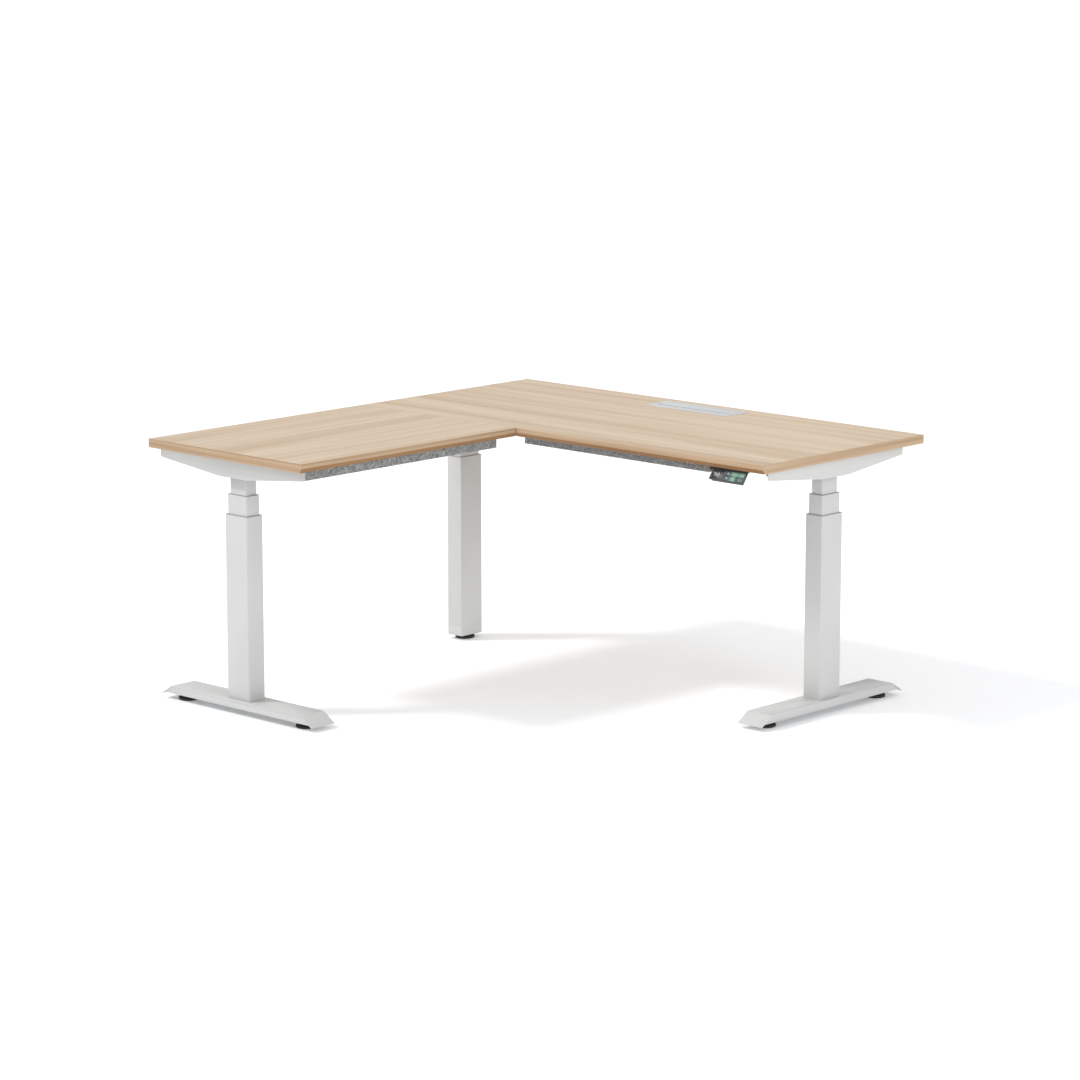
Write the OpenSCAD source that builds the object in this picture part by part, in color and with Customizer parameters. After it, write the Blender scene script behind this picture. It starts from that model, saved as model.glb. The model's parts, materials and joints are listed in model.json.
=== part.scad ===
// L-shaped electric standing desk on three telescopic legs.
//
// The origin is the middle of the desk's footprint, on the floor. +X runs to the right along
// the main worktop, +Y to the back and +Z up. All sizes are in millimetres. The return is the
// narrower worktop that comes forward from the left end of the main one. A leg's own frame has
// its column at the origin and the long side of its tubes along local X.

/* [Overall] */
// Length of the main worktop, left to right
main_l = 1524; // [1270:1:1830]
// Depth of the whole L, from the front end of the return to the back of the main worktop
overall_d = 1524; // [1270:1:1830]
// Height of the worktop's upper face at rest
desk_h = 742; // [700:1:900]

/* [Worktops] */
// Depth of the main worktop
main_depth = 696; // [580:1:840]
// Width of the return
return_w = 617; // [514:1:740]
// Thickness of both boards
board_t = 25; // [21:0.5:30]
// Gap at the seam where the return meets the main worktop
seam_gap = 0.6; // [0.3:0.1:2]
// Thickness of the glued edge band
band_t = 1; // [0.8:0.1:2]
// How far the underside bevel runs inwards on the user's edges
bevel_run = 6.5; // [4:0.5:12]
// Height of the underside bevel
bevel_rise = 11; // [6:0.5:16]

/* [Columns] */
// Distance from the worktop's end to a column's centre
column_inset = 71.5; // [66:0.5:90]
// Long side of the outer tube
outer_l = 88; // [84:0.5:106]
// Short side of the outer tube
outer_w = 59; // [56:0.5:71]
// Long side of the middle tube
mid_l = 77; // [75:0.5:78]
// Short side of the middle tube
mid_w = 48.4; // [47:0.2:50]
// Long side of the inner tube
inner_l = 65; // [60:0.5:68]
// Short side of the inner tube
inner_w = 38.6; // [37:0.2:39.4]
// Wall of every column tube
tube_wall = 2; // [1.6:0.1:2.4]
// Outside corner radius of the tubes
tube_r = 3.5; // [2.5:0.5:6]
// Length of middle tube that shows at rest
mid_show = 56; // [45:1:80]
// Length of inner tube that shows at rest
inner_show = 50.5; // [50:0.5:80]
// How far the worktop can go down from rest
travel_down = 95; // [60:1:97]
// Gap left under each moving tube at the lowest position
end_gap = 12; // [11:1:20]
// Height of a plastic glide between two tubes
glide_h = 42; // [20:1:60]
// Running gap between a glide and the tube that slides in it
glide_gap = 0.35; // [0.3:0.05:0.6]
// Collar of the glide that shows above the tube
collar_h = 1; // [0.6:0.1:2]

/* [Lifting screws] */
// Diameter of the tube that carries the fixed nut
push_d = 28; // [26:0.5:30]
// Diameter of the hollow screw
hollow_d = 22; // [20:0.5:23]
// Diameter of the drive screw
drive_d = 14; // [12:0.5:16]
// Wall of the push tube and of the hollow screw
screw_wall = 2.4; // [2:0.1:2.8]

/* [Feet] */
// Length of a T-foot, tip to tip
foot_l = 612; // [510:1:734]
// Length of the flat top of a T-foot
foot_flat = 528; // [440:1:640]
// Width of a T-foot
foot_w = 86; // [80:1:103]
// Height of a T-foot's top face
foot_h = 41; // [36:0.5:49]
// Height of a T-foot's tips above the floor
foot_tip = 15; // [13:0.5:20]
// Thickness of the folded foot cover
foot_sheet = 2.5; // [2:0.1:3]
// How far the side panels sit back under the cover's edge
foot_lip = 2; // [1:0.5:4]
// Height of the lower edge of the foot's side panels
foot_skirt = 18.5; // [16:0.5:22]
// Distance from the column to each levelling foot
leveller_off = 240; // [200:1:260]
// Width of the channel inside a T-foot
beam_w = 60; // [50:1:66]
// Thickness of the channel inside a T-foot
beam_t = 3; // [2:0.5:4]
// Height of the corner leg's base cap above the floor
cap_z = 13; // [12:0.5:16]

/* [Levelling feet] */
// Radius of the pad
pad_r = 29; // [24:0.5:35]
// Height of the pad
pad_h = 11; // [9:0.5:12]
// Diameter of the threaded stem
stem_d = 8; // [6:1:10]
// Running gap between stem and nut, on the radius
stem_gap = 0.06; // [0.02:0.01:0.1]
// Length of the stem above the pad
stem_l = 26; // [22:0.5:27]
// Diameter of the welded nut
nut_d = 17; // [14:1:20]

/* [Side arms] */
// Length of the tapered arms under the worktop's ends
arm_l = 583; // [486:1:640]
// Length of the arm over the corner leg
corner_arm_l = 450; // [420:1:540]
// Width of an arm
arm_w = 85; // [80:1:102]
// Depth of an arm at its middle
arm_mid = 53; // [52:0.5:60]
// Depth of an arm at its ends
arm_end = 28; // [24:0.5:34]
// Length of the level part in the middle of an arm
arm_level = 110; // [100:1:132]
// Corner radius at an arm's ends
arm_r = 5; // [2:0.5:8]
// Sheet thickness of the arms
arm_sheet = 2.5; // [2:0.1:3]
// Width of the folded flange that is screwed to the board
arm_flange = 16; // [14:0.5:18]

/* [Motors] */
// Diameter of a motor
motor_d = 34; // [28:0.5:35]
// Length of a motor
motor_l = 92; // [77:1:110]
// Length of the gear housing along the arm
gearbox_l = 72; // [66:1:80]
// Width of the gear housing
gearbox_w = 60; // [50:1:64]
// Height of the gear housing
gearbox_h = 38; // [36:0.5:40]
// Thickness of the head plate on the inner tube
head_t = 5; // [4:0.5:6]

/* [Frame rails] */
// Width of a rail
rail_w = 40; // [33:1:48]
// Height of a rail
rail_h = 20; // [17:0.5:23]
// Wall of a rail
rail_wall = 2; // [1.5:0.1:2.4]
// Distance between the two rails under the main worktop
main_rail_pitch = 320; // [310:1:360]
// Distance between the two rails under the return
return_rail_pitch = 300; // [250:1:320]
// Gap between a rail and the board above it
rail_drop = 1; // [0.5:0.5:2]
// Thickness of a rail's end plate
end_plate_t = 3; // [2:0.5:4]

/* [Seam plates] */
// Thickness of the plates that join the boards
seam_plate_t = 3; // [2:0.5:4]
// Depth of a seam plate across the seam
seam_plate_d = 76; // [60:1:90]
// Width of the seam plate between the rails
seam_plate_w = 220; // [160:1:236]
// Width of the seam plates outside the rails
seam_plate_side = 84; // [60:1:90]

/* [Felt cable trays] */
// Thickness of the pressed felt
felt_t = 4; // [3:0.5:5]
// Height of a tray
tray_h = 25; // [21:0.5:30]
// Width of a tray
tray_w = 100; // [84:1:104]
// Length of the main tray
main_tray_l = 688; // [574:1:700]
// Distance from the inner corner of the L to the main tray
main_tray_start = 5; // [2:1:30]
// How far the main tray sits behind the board's front edge
main_tray_inset = 41; // [34:1:46]
// Distance of the return tray's rear end from the seam
return_tray_gap = 65; // [40:1:90]
// Width of a tray's folded flange
tray_flange = 14; // [12:0.5:18]

/* [Handset] */
// Width of the handset
handset_w = 120; // [110:1:144]
// Length of its sloping face
handset_face = 31.5; // [30:0.5:34]
// Angle of the face from vertical
handset_tilt = 35; // [25:1:45]
// Distance from the worktop's right end to the handset's middle
handset_in = 129; // [125:1:160]
// How far the face's lower edge stands out past the board
handset_out = 2; // [0:0.5:8]
// How far the face's lower edge hangs below the board
handset_drop = 32; // [30:0.5:36]
// Distance from the front edge to the back of the handset
handset_depth = 42; // [38:1:44]
// Travel of a button
button_travel = 0.8; // [0.5:0.1:1.2]
// Gap round a button
button_gap = 0.35; // [0.3:0.05:0.5]
// How far a button stands out of the face
button_proud = 0.4; // [0.2:0.1:1]
// Thickness of a button
button_t = 2; // [1.5:0.1:2.5]

/* [Cable port] */
// Length of the port's plate
port_l = 310; // [260:1:372]
// Width of the port's plate
port_w = 100; // [84:1:120]
// Distance from the plate to the worktop's back edge
port_back = 38; // [30:1:60]
// Thickness of the plate and the lid
port_t = 2; // [1.6:0.1:2.4]
// How far the plate stands out of the board
port_proud = 1; // [0.5:0.1:1.4]
// Width of the plate in front of the slot
port_front = 36; // [28:1:46]
// Width of the plate beside and behind the lid
port_rim = 12; // [8:1:18]
// Wall of the sleeve that lines the cut-out
sleeve_t = 1.5; // [1:0.1:2]
// Width of the cable slot in front of the lid
slot_w = 4.5; // [2:0.5:6]
// Radius of the lid's hinge barrel
barrel_r = 3; // [2.5:0.1:4]
// Diameter of the hinge pin
pin_d = 3; // [2.4:0.1:3.6]
// Running gap between lid and pin, on the radius
pin_gap = 0.06; // [0.02:0.01:0.1]
// Gap between the lid and its frame
lid_gap = 0.5; // [0.4:0.1:1]
// Radius of the finger notch in the lid
notch_r = 6; // [4:0.5:10]

/* [Control box] */
// Length of the control box
box_l = 250; // [210:1:300]
// Width of the control box
box_w = 104; // [88:1:124]
// Height of the control box
box_h = 36; // [30:0.5:43]
// Distance from the main worktop's middle to the box's middle
box_x = 90; // [0:1:150]

/* [Fasteners] */
// Diameter of a wood screw's shank
screw_d = 4; // [3:0.5:5]
// Diameter of a wood screw's head
screw_head_d = 9; // [7:0.5:10]
// Height of a wood screw's head
screw_head_h = 2.4; // [2:0.1:3]
// Length of a wood screw inside the board
screw_bite = 14; // [10:0.5:17]
// Diameter of a frame bolt
bolt_d = 6; // [5:0.5:8]
// Distance across the corners of a bolt's head
bolt_head_d = 11; // [10:0.5:14]
// Height of a bolt's head and of its nut
bolt_head_h = 4; // [3:0.5:5]
// Clearance round a bolt, on the radius
bolt_gap = 0.3; // [0.2:0.1:0.5]

/* [Hidden] */

$fn = 48;
cut = 1;                                    // how far a cutter runs past the face it opens
plate_r = 6;                                // corner radius of the flat steel plates
least_r = 0.5;                              // smallest corner radius inside a tube

white = "gainsboro";
steel = "silver";
oak = "burlywood";
felt = "gray";
black = "#1d1d1b";
slate = "#34474f";
green = "#5f8570";

// Key heights and edges
under_z = desk_h - board_t;                 // the boards' underside
arm_z = under_z - arm_mid;                  // the arms' lowest face
head_z = arm_z + arm_sheet;                 // where the head plates sit
outer_z = arm_z - inner_show - mid_show;    // top of the outer tubes
mid_z = outer_z + mid_show;                 // top of the middle tubes
mid_low = foot_h + end_gap + travel_down / 2;
inner_low = foot_h + end_gap + travel_down + end_gap / 2;
left_x = -main_l / 2;
right_x = main_l / 2;
back_y = overall_d / 2;
front_y = -overall_d / 2;
seam_y = back_y - main_depth;               // front edge of the main worktop
return_x = left_x + return_w;               // user's edge of the return

// Each leg: x, y, turn, and the local side on which the frame lies
LEFT = [left_x + return_w / 2, front_y + column_inset, 0, 1];
RIGHT = [right_x - column_inset, back_y - main_depth / 2, 90, 1];
CORNER = [left_x + column_inset, back_y - main_depth / 2, 90, -1];
LEGS = [LEFT, RIGHT, CORNER];
T_LEGS = [LEFT, RIGHT];

module at_leg(leg) translate([leg[0], leg[1], 0]) rotate([0, 0, leg[2]]) children();

// A rectangle with round corners, from plain squares and circles so that it stays exact
module round_rect(l, w, r) {
    square([l - 2 * r, w], center = true);
    square([l, w - 2 * r], center = true);
    for (x = [-1, 1], y = [-1, 1])
        translate([x * (l / 2 - r), y * (w / 2 - r)]) circle(r);
}

module tube(l, w, z0, z1) {
    r_in = max(tube_r - tube_wall, least_r);
    translate([0, 0, z0]) linear_extrude(z1 - z0) difference() {
        round_rect(l, w, tube_r);
        round_rect(l - 2 * tube_wall, w - 2 * tube_wall, r_in);
    }
}

module ring(d_out, d_in, z0, z1) {
    translate([0, 0, z0]) difference() {
        cylinder(h = z1 - z0, d = d_out);
        translate([0, 0, -cut]) cylinder(h = z1 - z0 + 2 * cut, d = d_in);
    }
}

// A bolt along local Z with its head above z = 0 and its nut below -grip
module bolt(grip) {
    cylinder(h = bolt_head_h, d = bolt_head_d, $fn = 6);
    translate([0, 0, -grip - bolt_head_h]) {
        cylinder(h = grip + bolt_head_h, d = bolt_d);
        cylinder(h = bolt_head_h, d = bolt_head_d, $fn = 6);
    }
}

// ---------- boards ----------

// The section of a board across its user's edge, set back by inset on every side; over makes
// it taller at both faces so that it can be used as a cutter
function board_section(d, inset, over) = [
    [inset, bevel_rise], [inset + bevel_run, 0], [inset + bevel_run, -over],
    [d - inset, -over], [d - inset, board_t + over], [inset, board_t + over]];

// A board with its user's edge at local y = 0 and its length along local X
module board(l, d, inset = 0, over = 0) {
    translate([inset, 0, 0]) rotate([90, 0, 90])
        linear_extrude(l - 2 * inset) polygon(board_section(d, inset, over));
}

module main_board(inset = 0, over = 0)
    translate([left_x, seam_y, under_z]) board(main_l, main_depth, inset, over);

return_l = seam_y - seam_gap - front_y;
module return_board(inset = 0, over = 0)
    translate([return_x, front_y, under_z]) rotate([0, 0, 90])
        board(return_l, return_w, inset, over);

// The frame under the return keeps its distances from the board's sides: its arm, its rails'
// pitch and the plate between them are as named for this width, and grow or shrink with it
return_drawn_w = 617;
return_growth = return_w - return_drawn_w;
left_arm_l = arm_l + return_growth;
return_pitch = return_rail_pitch + return_growth;

// Wood screws: [x, y, thickness of what is clamped under the board]
flange_y = arm_w / 2 - arm_sheet - arm_flange / 2;
function leg_spot(leg, x, y) = [leg[0] + x * cos(leg[2]) - y * sin(leg[2]),
    leg[1] + x * sin(leg[2]) + y * cos(leg[2]), arm_sheet];
arm_screw_in = 34;                          // from an arm's end to the outermost screw
corner_screw_x = corner_arm_l / 2 - 26;
inner_screws = 0.45;                        // the inner screws' share of that distance
ARM_SCREWS = [
    for (arm = [[LEFT, left_arm_l], [RIGHT, arm_l]],
            x = [-1, -inner_screws, inner_screws, 1], y = [-1, 1])
        leg_spot(arm[0], x * (arm[1] / 2 - arm_screw_in), y * flange_y),
    for (x = [-1, 1], y = [-1, 1])
        leg_spot(CORNER, x * corner_screw_x, y * flange_y)];

rail_x = [LEFT[0] - return_pitch / 2, LEFT[0] + return_pitch / 2];
rail_y = [RIGHT[1] - main_rail_pitch / 2, RIGHT[1] + main_rail_pitch / 2];
plate_gap = 8;                              // between a seam plate and a rail
plate_margin = 12;                          // from a seam plate's edges to its screws
seam_side_x = rail_w / 2 + plate_gap + seam_plate_side / 2;
SEAM_PLATES = [[LEFT[0], seam_plate_w + return_growth],
    [rail_x[0] - seam_side_x, seam_plate_side], [rail_x[1] + seam_side_x, seam_plate_side]];
SEAM_SCREWS = [for (p = SEAM_PLATES, x = [-1, 1], y = [-1, 1])
    [p[0] + x * (p[1] / 2 - plate_margin), seam_y + y * (seam_plate_d / 2 - plate_margin),
        seam_plate_t]];

main_tray_x = return_x - main_tray_start;
main_tray_y = seam_y + main_tray_inset;
return_tray_x = LEFT[0] + left_arm_l / 2 + felt_t;
return_tray_y = seam_y - return_tray_gap;
return_trough_y = LEFT[1] + arm_w / 2 + felt_t;
return_trough_l = return_tray_y - return_trough_y;
tray_hold = [0.08, 0.36, 0.64, 0.92];       // screws along a tray
TRAY_SCREWS = [
    for (s = tray_hold, y = [-tray_flange / 2, tray_w + tray_flange / 2])
        [main_tray_x + s * main_tray_l, main_tray_y + y, felt_t],
    for (s = tray_hold, x = [felt_t + tray_flange / 2, tray_w + tray_flange / 2])
        [return_tray_x - x, return_trough_y + s * return_trough_l, felt_t]];

box_tab = 14;                               // fixing tabs at the box's ends
box_tab_t = 2;
box_y = RIGHT[1];
BOX_SCREWS = [for (x = [-1, 1], y = [-1, 1])
    [box_x + x * (box_l + box_tab) / 2, box_y + y * box_w / 3, box_tab_t]];

handset_x = right_x - handset_in;
handset_tab_t = 3;                          // fixing tab behind the handset
handset_tab = 11;
handset_tab_side = 8;                       // from the handset's ends to the tab's ends
handset_screw_x = handset_w / 2 - 22;
HANDSET_SCREWS = [for (x = [-1, 1])
    [handset_x + x * handset_screw_x, seam_y + handset_depth + handset_tab / 2, handset_tab_t]];

SCREWS = concat(ARM_SCREWS, SEAM_SCREWS, TRAY_SCREWS, BOX_SCREWS, HANDSET_SCREWS);

screw_fit = 0.05;                           // on the radius of a pilot hole
screw_play = 0.5;                           // on the radius of a hole through steel or felt
module pilot_holes(spots)
    for (s = spots) translate([s[0], s[1], under_z - cut])
        cylinder(h = screw_bite + 2 * cut, d = screw_d + 2 * screw_fit);
module screw_holes(spots)
    for (s = spots) translate([s[0], s[1], under_z - s[2] - cut])
        cylinder(h = s[2] + 2 * cut, d = screw_d + 2 * screw_play);

// Cable port: its plate, the opening in the plate and the sleeve below
port_x = 0;
port_y = back_y - port_back - port_w / 2;
port_open_l = port_l - 2 * port_rim;
port_open_y0 = port_y - port_w / 2 + port_front;
port_open_y1 = port_y + port_w / 2 - port_rim;
port_open_w = port_open_y1 - port_open_y0;
port_top = desk_h + port_proud;
hinge_y = port_open_y1 - barrel_r - lid_gap;
hinge_z = port_top - barrel_r;
sleeve_fit = 0.5;                           // round the sleeve
rebate_fit = 0.2;                           // round the plate
port_r = 1.5;                               // corner radius of the plate

module port_box(grow, z0, z1)
    translate([port_x - port_open_l / 2 - grow, port_open_y0 - grow, z0])
        cube([port_open_l + 2 * grow, port_open_w + 2 * grow, z1 - z0]);

module port_plate(grow, z0, z1)
    translate([port_x, port_y, z0]) linear_extrude(z1 - z0)
        round_rect(port_l + 2 * grow, port_w + 2 * grow, port_r + grow);

module main_desktop() {
    color(oak) difference() {
        main_board(band_t);
        port_box(sleeve_t + sleeve_fit, under_z - cut, desk_h + cut);
        port_plate(rebate_fit, port_top - port_t, desk_h + cut);
        pilot_holes([for (s = SCREWS) if (s[1] > seam_y) s]);
    }
}

module return_desktop() {
    color(oak) difference() {
        return_board(band_t);
        pilot_holes([for (s = SCREWS) if (s[1] < seam_y) s]);
    }
}

module edge_bands() {
    color(oak) {
        difference() { main_board(); main_board(band_t, cut); }
        difference() { return_board(); return_board(band_t, cut); }
    }
}

module seam_plates() {
    color(steel) difference() {
        for (p = SEAM_PLATES)
            translate([p[0], seam_y, under_z - seam_plate_t]) linear_extrude(seam_plate_t)
                round_rect(p[1], seam_plate_d, plate_r);
        screw_holes(SEAM_SCREWS);
    }
}

module wood_screws() {
    color(steel) for (s = SCREWS) translate([s[0], s[1], under_z - s[2]]) {
        translate([0, 0, -screw_head_h]) cylinder(h = screw_head_h, d = screw_head_d);
        cylinder(h = s[2] + screw_bite, d = screw_d);
    }
}

// ---------- arms, heads and motors ----------

function arc(cx, cy, r, a0, a1, n = 6) =
    [for (i = [0:n]) [cx + r * cos(a0 + (a1 - a0) * i / n), cy + r * sin(a0 + (a1 - a0) * i / n)]];

// The side view of an arm that hangs down from z = 0: level in the middle, rising to both
// ends, where round corners run up into the upright end walls
corner_turn = 84;                           // how far the round corners turn
function arm_outline(l, mid, end, r) = concat(
    [[-arm_level / 2, -mid], [arm_level / 2, -mid]],
    arc(l / 2 - r, -end + r, r, -corner_turn, 0), [[l / 2, 0], [-l / 2, 0]],
    arc(-l / 2 + r, -end + r, r, 180, 180 + corner_turn));

// That side view as a block, thinned by inset on every side and hung down from the board
module arm_block(l, inset)
    translate([0, arm_w / 2 - inset, under_z - inset]) rotate([90, 0, 0])
        linear_extrude(arm_w - 2 * inset)
            polygon(arm_outline(l - 2 * inset, arm_mid - 2 * inset, arm_end - 2 * inset,
                arm_r - inset));

// The box ends at box_l; from there to the tips only the outer wall and the flanges go on
module arm_shell(l, box_l) {
    difference() {
        arm_block(l, 0);
        arm_block(l, arm_sheet);
        translate([0, 0, under_z - arm_sheet / 2])
            cube([l - 2 * arm_sheet, arm_w - 2 * (arm_sheet + arm_flange), arm_sheet + 2 * cut],
                center = true);
        translate([0, 0, arm_z - cut]) linear_extrude(arm_sheet + 2 * cut)
            round_rect(inner_l + 2 * tube_play, inner_w + 2 * tube_play, tube_r);
        if (box_l < l)
            for (x = [-l / 2 - cut, box_l / 2]) translate([x, -arm_w / 2 + arm_sheet, arm_z - cut])
                cube([(l - box_l) / 2 + cut, arm_w, arm_mid - arm_sheet + cut]);
    }
}

tube_play = 0.5;                            // round the inner tube where it enters an arm
access_d = 14;                              // driver holes in the arms' floor
module arm(leg, l, box_l, spots) {
    color(white) difference() {
        at_leg(leg) arm_shell(l, box_l);
        screw_holes(spots);
        for (s = spots) translate([s[0], s[1], arm_z - cut])
            cylinder(h = arm_mid - 2 * arm_sheet, d = access_d);
        at_leg(leg) head_bolt_places() translate([0, 0, -3 * arm_sheet])
            cylinder(h = 6 * arm_sheet, d = bolt_d + 2 * bolt_gap);
        rail_bolt_holes();
    }
}

function near_leg(leg, r) = [for (s = ARM_SCREWS) if (norm([s[0] - leg[0], s[1] - leg[1]]) < r) s];
box_past_plate = 2.5;                       // from a rail's end plate to the end of the box
function arm_box_l(pitch) = pitch + end_plate_w + 2 * box_past_plate;
module left_arm() arm(LEFT, left_arm_l, arm_box_l(return_pitch), near_leg(LEFT, left_arm_l / 2));
module right_arm() arm(RIGHT, arm_l, arm_box_l(main_rail_pitch), near_leg(RIGHT, arm_l / 2));
module corner_arm() arm(CORNER, corner_arm_l, corner_arm_l, near_leg(CORNER, corner_arm_l / 2));

// Four bolts join each head plate to its arm's floor
head_l = 104;
head_w = 72;
head_margin = 9;                            // from a head plate's edges to its bolts
screw_hole = 3;                             // round the drive screw, on the radius
head_relief = 1.5;                          // round a bolt's head, on the radius
module head_bolt_places()
    for (x = [-1, 1], y = [-1, 1])
        translate([x * (head_l / 2 - head_margin), y * (head_w / 2 - head_margin), head_z])
            children();

module head_plates() {
    color(steel) for (leg = LEGS) at_leg(leg) difference() {
        translate([0, 0, head_z]) linear_extrude(head_t)
            round_rect(head_l, head_w, plate_r);
        translate([0, 0, head_z - cut])
            cylinder(h = head_t + 2 * cut, d = drive_d + 2 * screw_hole);
        head_bolt_places() translate([0, 0, -cut])
            cylinder(h = head_t + 2 * cut, d = bolt_d + 2 * bolt_gap);
    }
}

gearbox_z = head_z + head_t;
motor_gap = 1;                              // between a motor and the flanges above it
motor_z = under_z - arm_sheet - motor_gap - motor_d / 2;
module drive_motors() {
    color(black) for (leg = LEGS) at_leg(leg) {
        difference() {
            union() {
                translate([0, 0, gearbox_z]) linear_extrude(gearbox_h) difference() {
                    round_rect(gearbox_l, gearbox_w, plate_r);
                    for (x = [-1, 1], y = [-1, 1])
                        translate([x * (head_l / 2 - head_margin), y * (head_w / 2 - head_margin)])
                            circle(d = bolt_head_d + 2 * head_relief);
                }
                translate([gearbox_l / 2 - cut, 0, motor_z]) rotate([0, 90, 0])
                    cylinder(h = motor_l + cut, d = motor_d);
            }
            translate([0, 0, gearbox_z - cut])
                cylinder(h = screw_top_bite + screw_room + cut, d = drive_d + 2 * screw_room);
        }
    }
}

// ---------- columns ----------

module left_outer_tube() color(white) at_leg(LEFT) tube(outer_l, outer_w, foot_h, outer_z);
module right_outer_tube() color(white) at_leg(RIGHT) tube(outer_l, outer_w, foot_h, outer_z);
module corner_outer_tube() color(white) at_leg(CORNER) tube(outer_l, outer_w, foot_h, outer_z);
module left_mid_tube() color(white) at_leg(LEFT) tube(mid_l, mid_w, mid_low, mid_z);
module right_mid_tube() color(white) at_leg(RIGHT) tube(mid_l, mid_w, mid_low, mid_z);
module corner_mid_tube() color(white) at_leg(CORNER) tube(mid_l, mid_w, mid_low, mid_z);
module left_inner_tube() color(white) at_leg(LEFT) tube(inner_l, inner_w, inner_low, head_z);
module right_inner_tube() color(white) at_leg(RIGHT) tube(inner_l, inner_w, inner_low, head_z);
module corner_inner_tube() color(white) at_leg(CORNER) tube(inner_l, inner_w, inner_low, head_z);

// A glide lines the top of the tube it is pressed into and carries a thin collar on its rim
module glide(outside_l, outside_w, inside_l, inside_w, top) {
    bore_l = inside_l + 2 * glide_gap;
    bore_w = inside_w + 2 * glide_gap;
    difference() {
        union() {
            translate([0, 0, top - glide_h]) linear_extrude(glide_h)
                round_rect(outside_l - 2 * tube_wall, outside_w - 2 * tube_wall, tube_r - tube_wall);
            translate([0, 0, top]) linear_extrude(collar_h)
                round_rect(outside_l - tube_wall, outside_w - tube_wall, tube_r - tube_wall / 2);
        }
        translate([0, 0, top - glide_h - cut]) linear_extrude(glide_h + collar_h + 2 * cut)
            round_rect(bore_l, bore_w, tube_r);
    }
}

module outer_glides()
    color(black) for (leg = LEGS) at_leg(leg) glide(outer_l, outer_w, mid_l, mid_w, outer_z);
module mid_glide(leg)
    color(black) at_leg(leg) glide(mid_l, mid_w, inner_l, inner_w, mid_z);
module left_mid_glide() mid_glide(LEFT);
module right_mid_glide() mid_glide(RIGHT);
module corner_mid_glide() mid_glide(CORNER);

// The screws run one inside the other: a fixed push tube on the base plate, a hollow screw
// that travels with the middle tube and a drive screw that hangs from the gear housing
plate_t = 6;                                // base plate inside the outer tube
plate_fit = 0.2;                            // between that plate and the tube's walls
plate_corner = 1.5;
screw_top_bite = 12;                        // drive screw inside the gear housing
screw_room = 0.4;                           // room round the drive screw's upper end
push_top = outer_z - glide_h / 2;
hollow_top = head_z - travel_down / 2 - end_gap;
module push_tubes()
    color(steel) for (leg = LEGS) at_leg(leg)
        ring(push_d, push_d - 2 * screw_wall, foot_h + plate_t, push_top);
module hollow_screw(leg)
    color(steel) at_leg(leg) ring(hollow_d, hollow_d - 2 * screw_wall, mid_low, hollow_top);
module left_hollow_screw() hollow_screw(LEFT);
module right_hollow_screw() hollow_screw(RIGHT);
module corner_hollow_screw() hollow_screw(CORNER);
module drive_screw(leg)
    color(steel) at_leg(leg) translate([0, 0, inner_low])
        cylinder(h = gearbox_z + screw_top_bite - inner_low, d = drive_d);
module left_drive_screw() drive_screw(LEFT);
module right_drive_screw() drive_screw(RIGHT);
module corner_drive_screw() drive_screw(CORNER);

module column_base_plates() {
    color(steel) for (leg = LEGS) at_leg(leg) translate([0, 0, foot_h]) linear_extrude(plate_t)
        difference() {
            round_rect(outer_l - 2 * (tube_wall + plate_fit), outer_w - 2 * (tube_wall + plate_fit),
                plate_corner);
            base_bolt_places() circle(d = bolt_d + 2 * bolt_gap);
            if (leg == CORNER) circle(d = stem_d + 2 * stem_room);
        }
}

// ---------- feet ----------

stem_room = 2;                              // round a levelling stem that only passes through
base_bolt_x = outer_l / 2 - 14;
base_bolt_y = outer_w / 2 - 12;
module base_bolt_places()
    for (x = [-1, 1], y = [-1, 1])
        translate([x * base_bolt_x, y * base_bolt_y]) children();

// The cover's side view: a level sheet whose two ends are folded down
cover_drop = foot_h - foot_tip;
cover_run = (foot_l - foot_flat) / 2;
function cover_line(drop) = [[-foot_l / 2, foot_tip - drop], [-foot_flat / 2, foot_h - drop],
    [foot_flat / 2, foot_h - drop], [foot_l / 2, foot_tip - drop]];
function reversed(list) = [for (i = [len(list) - 1:-1:0]) list[i]];
// The side panel ends where the folded sheet comes down to the skirt's height
panel_run = foot_l / 2 - (foot_skirt + foot_sheet - foot_tip) * cover_run / cover_drop;

module foot_cover(leg) {
    color(white) difference() {
        at_leg(leg) {
            translate([0, foot_w / 2, 0]) rotate([90, 0, 0]) linear_extrude(foot_w)
                polygon(concat(cover_line(0), reversed(cover_line(foot_sheet))));
            for (side = [-1, 1])
                translate([0, side * (foot_w / 2 - foot_lip - foot_sheet / 2) + foot_sheet / 2, 0])
                    rotate([90, 0, 0]) linear_extrude(foot_sheet)
                        polygon([[-panel_run, foot_skirt], [-foot_flat / 2, foot_h - foot_sheet],
                            [foot_flat / 2, foot_h - foot_sheet], [panel_run, foot_skirt]]);
        }
        at_leg(leg) translate([0, 0, foot_h - foot_sheet - cut]) base_bolt_places()
            cylinder(h = foot_sheet + 2 * cut, d = bolt_d + 2 * bolt_gap);
    }
}
module left_foot_cover() foot_cover(LEFT);
module right_foot_cover() foot_cover(RIGHT);

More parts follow.
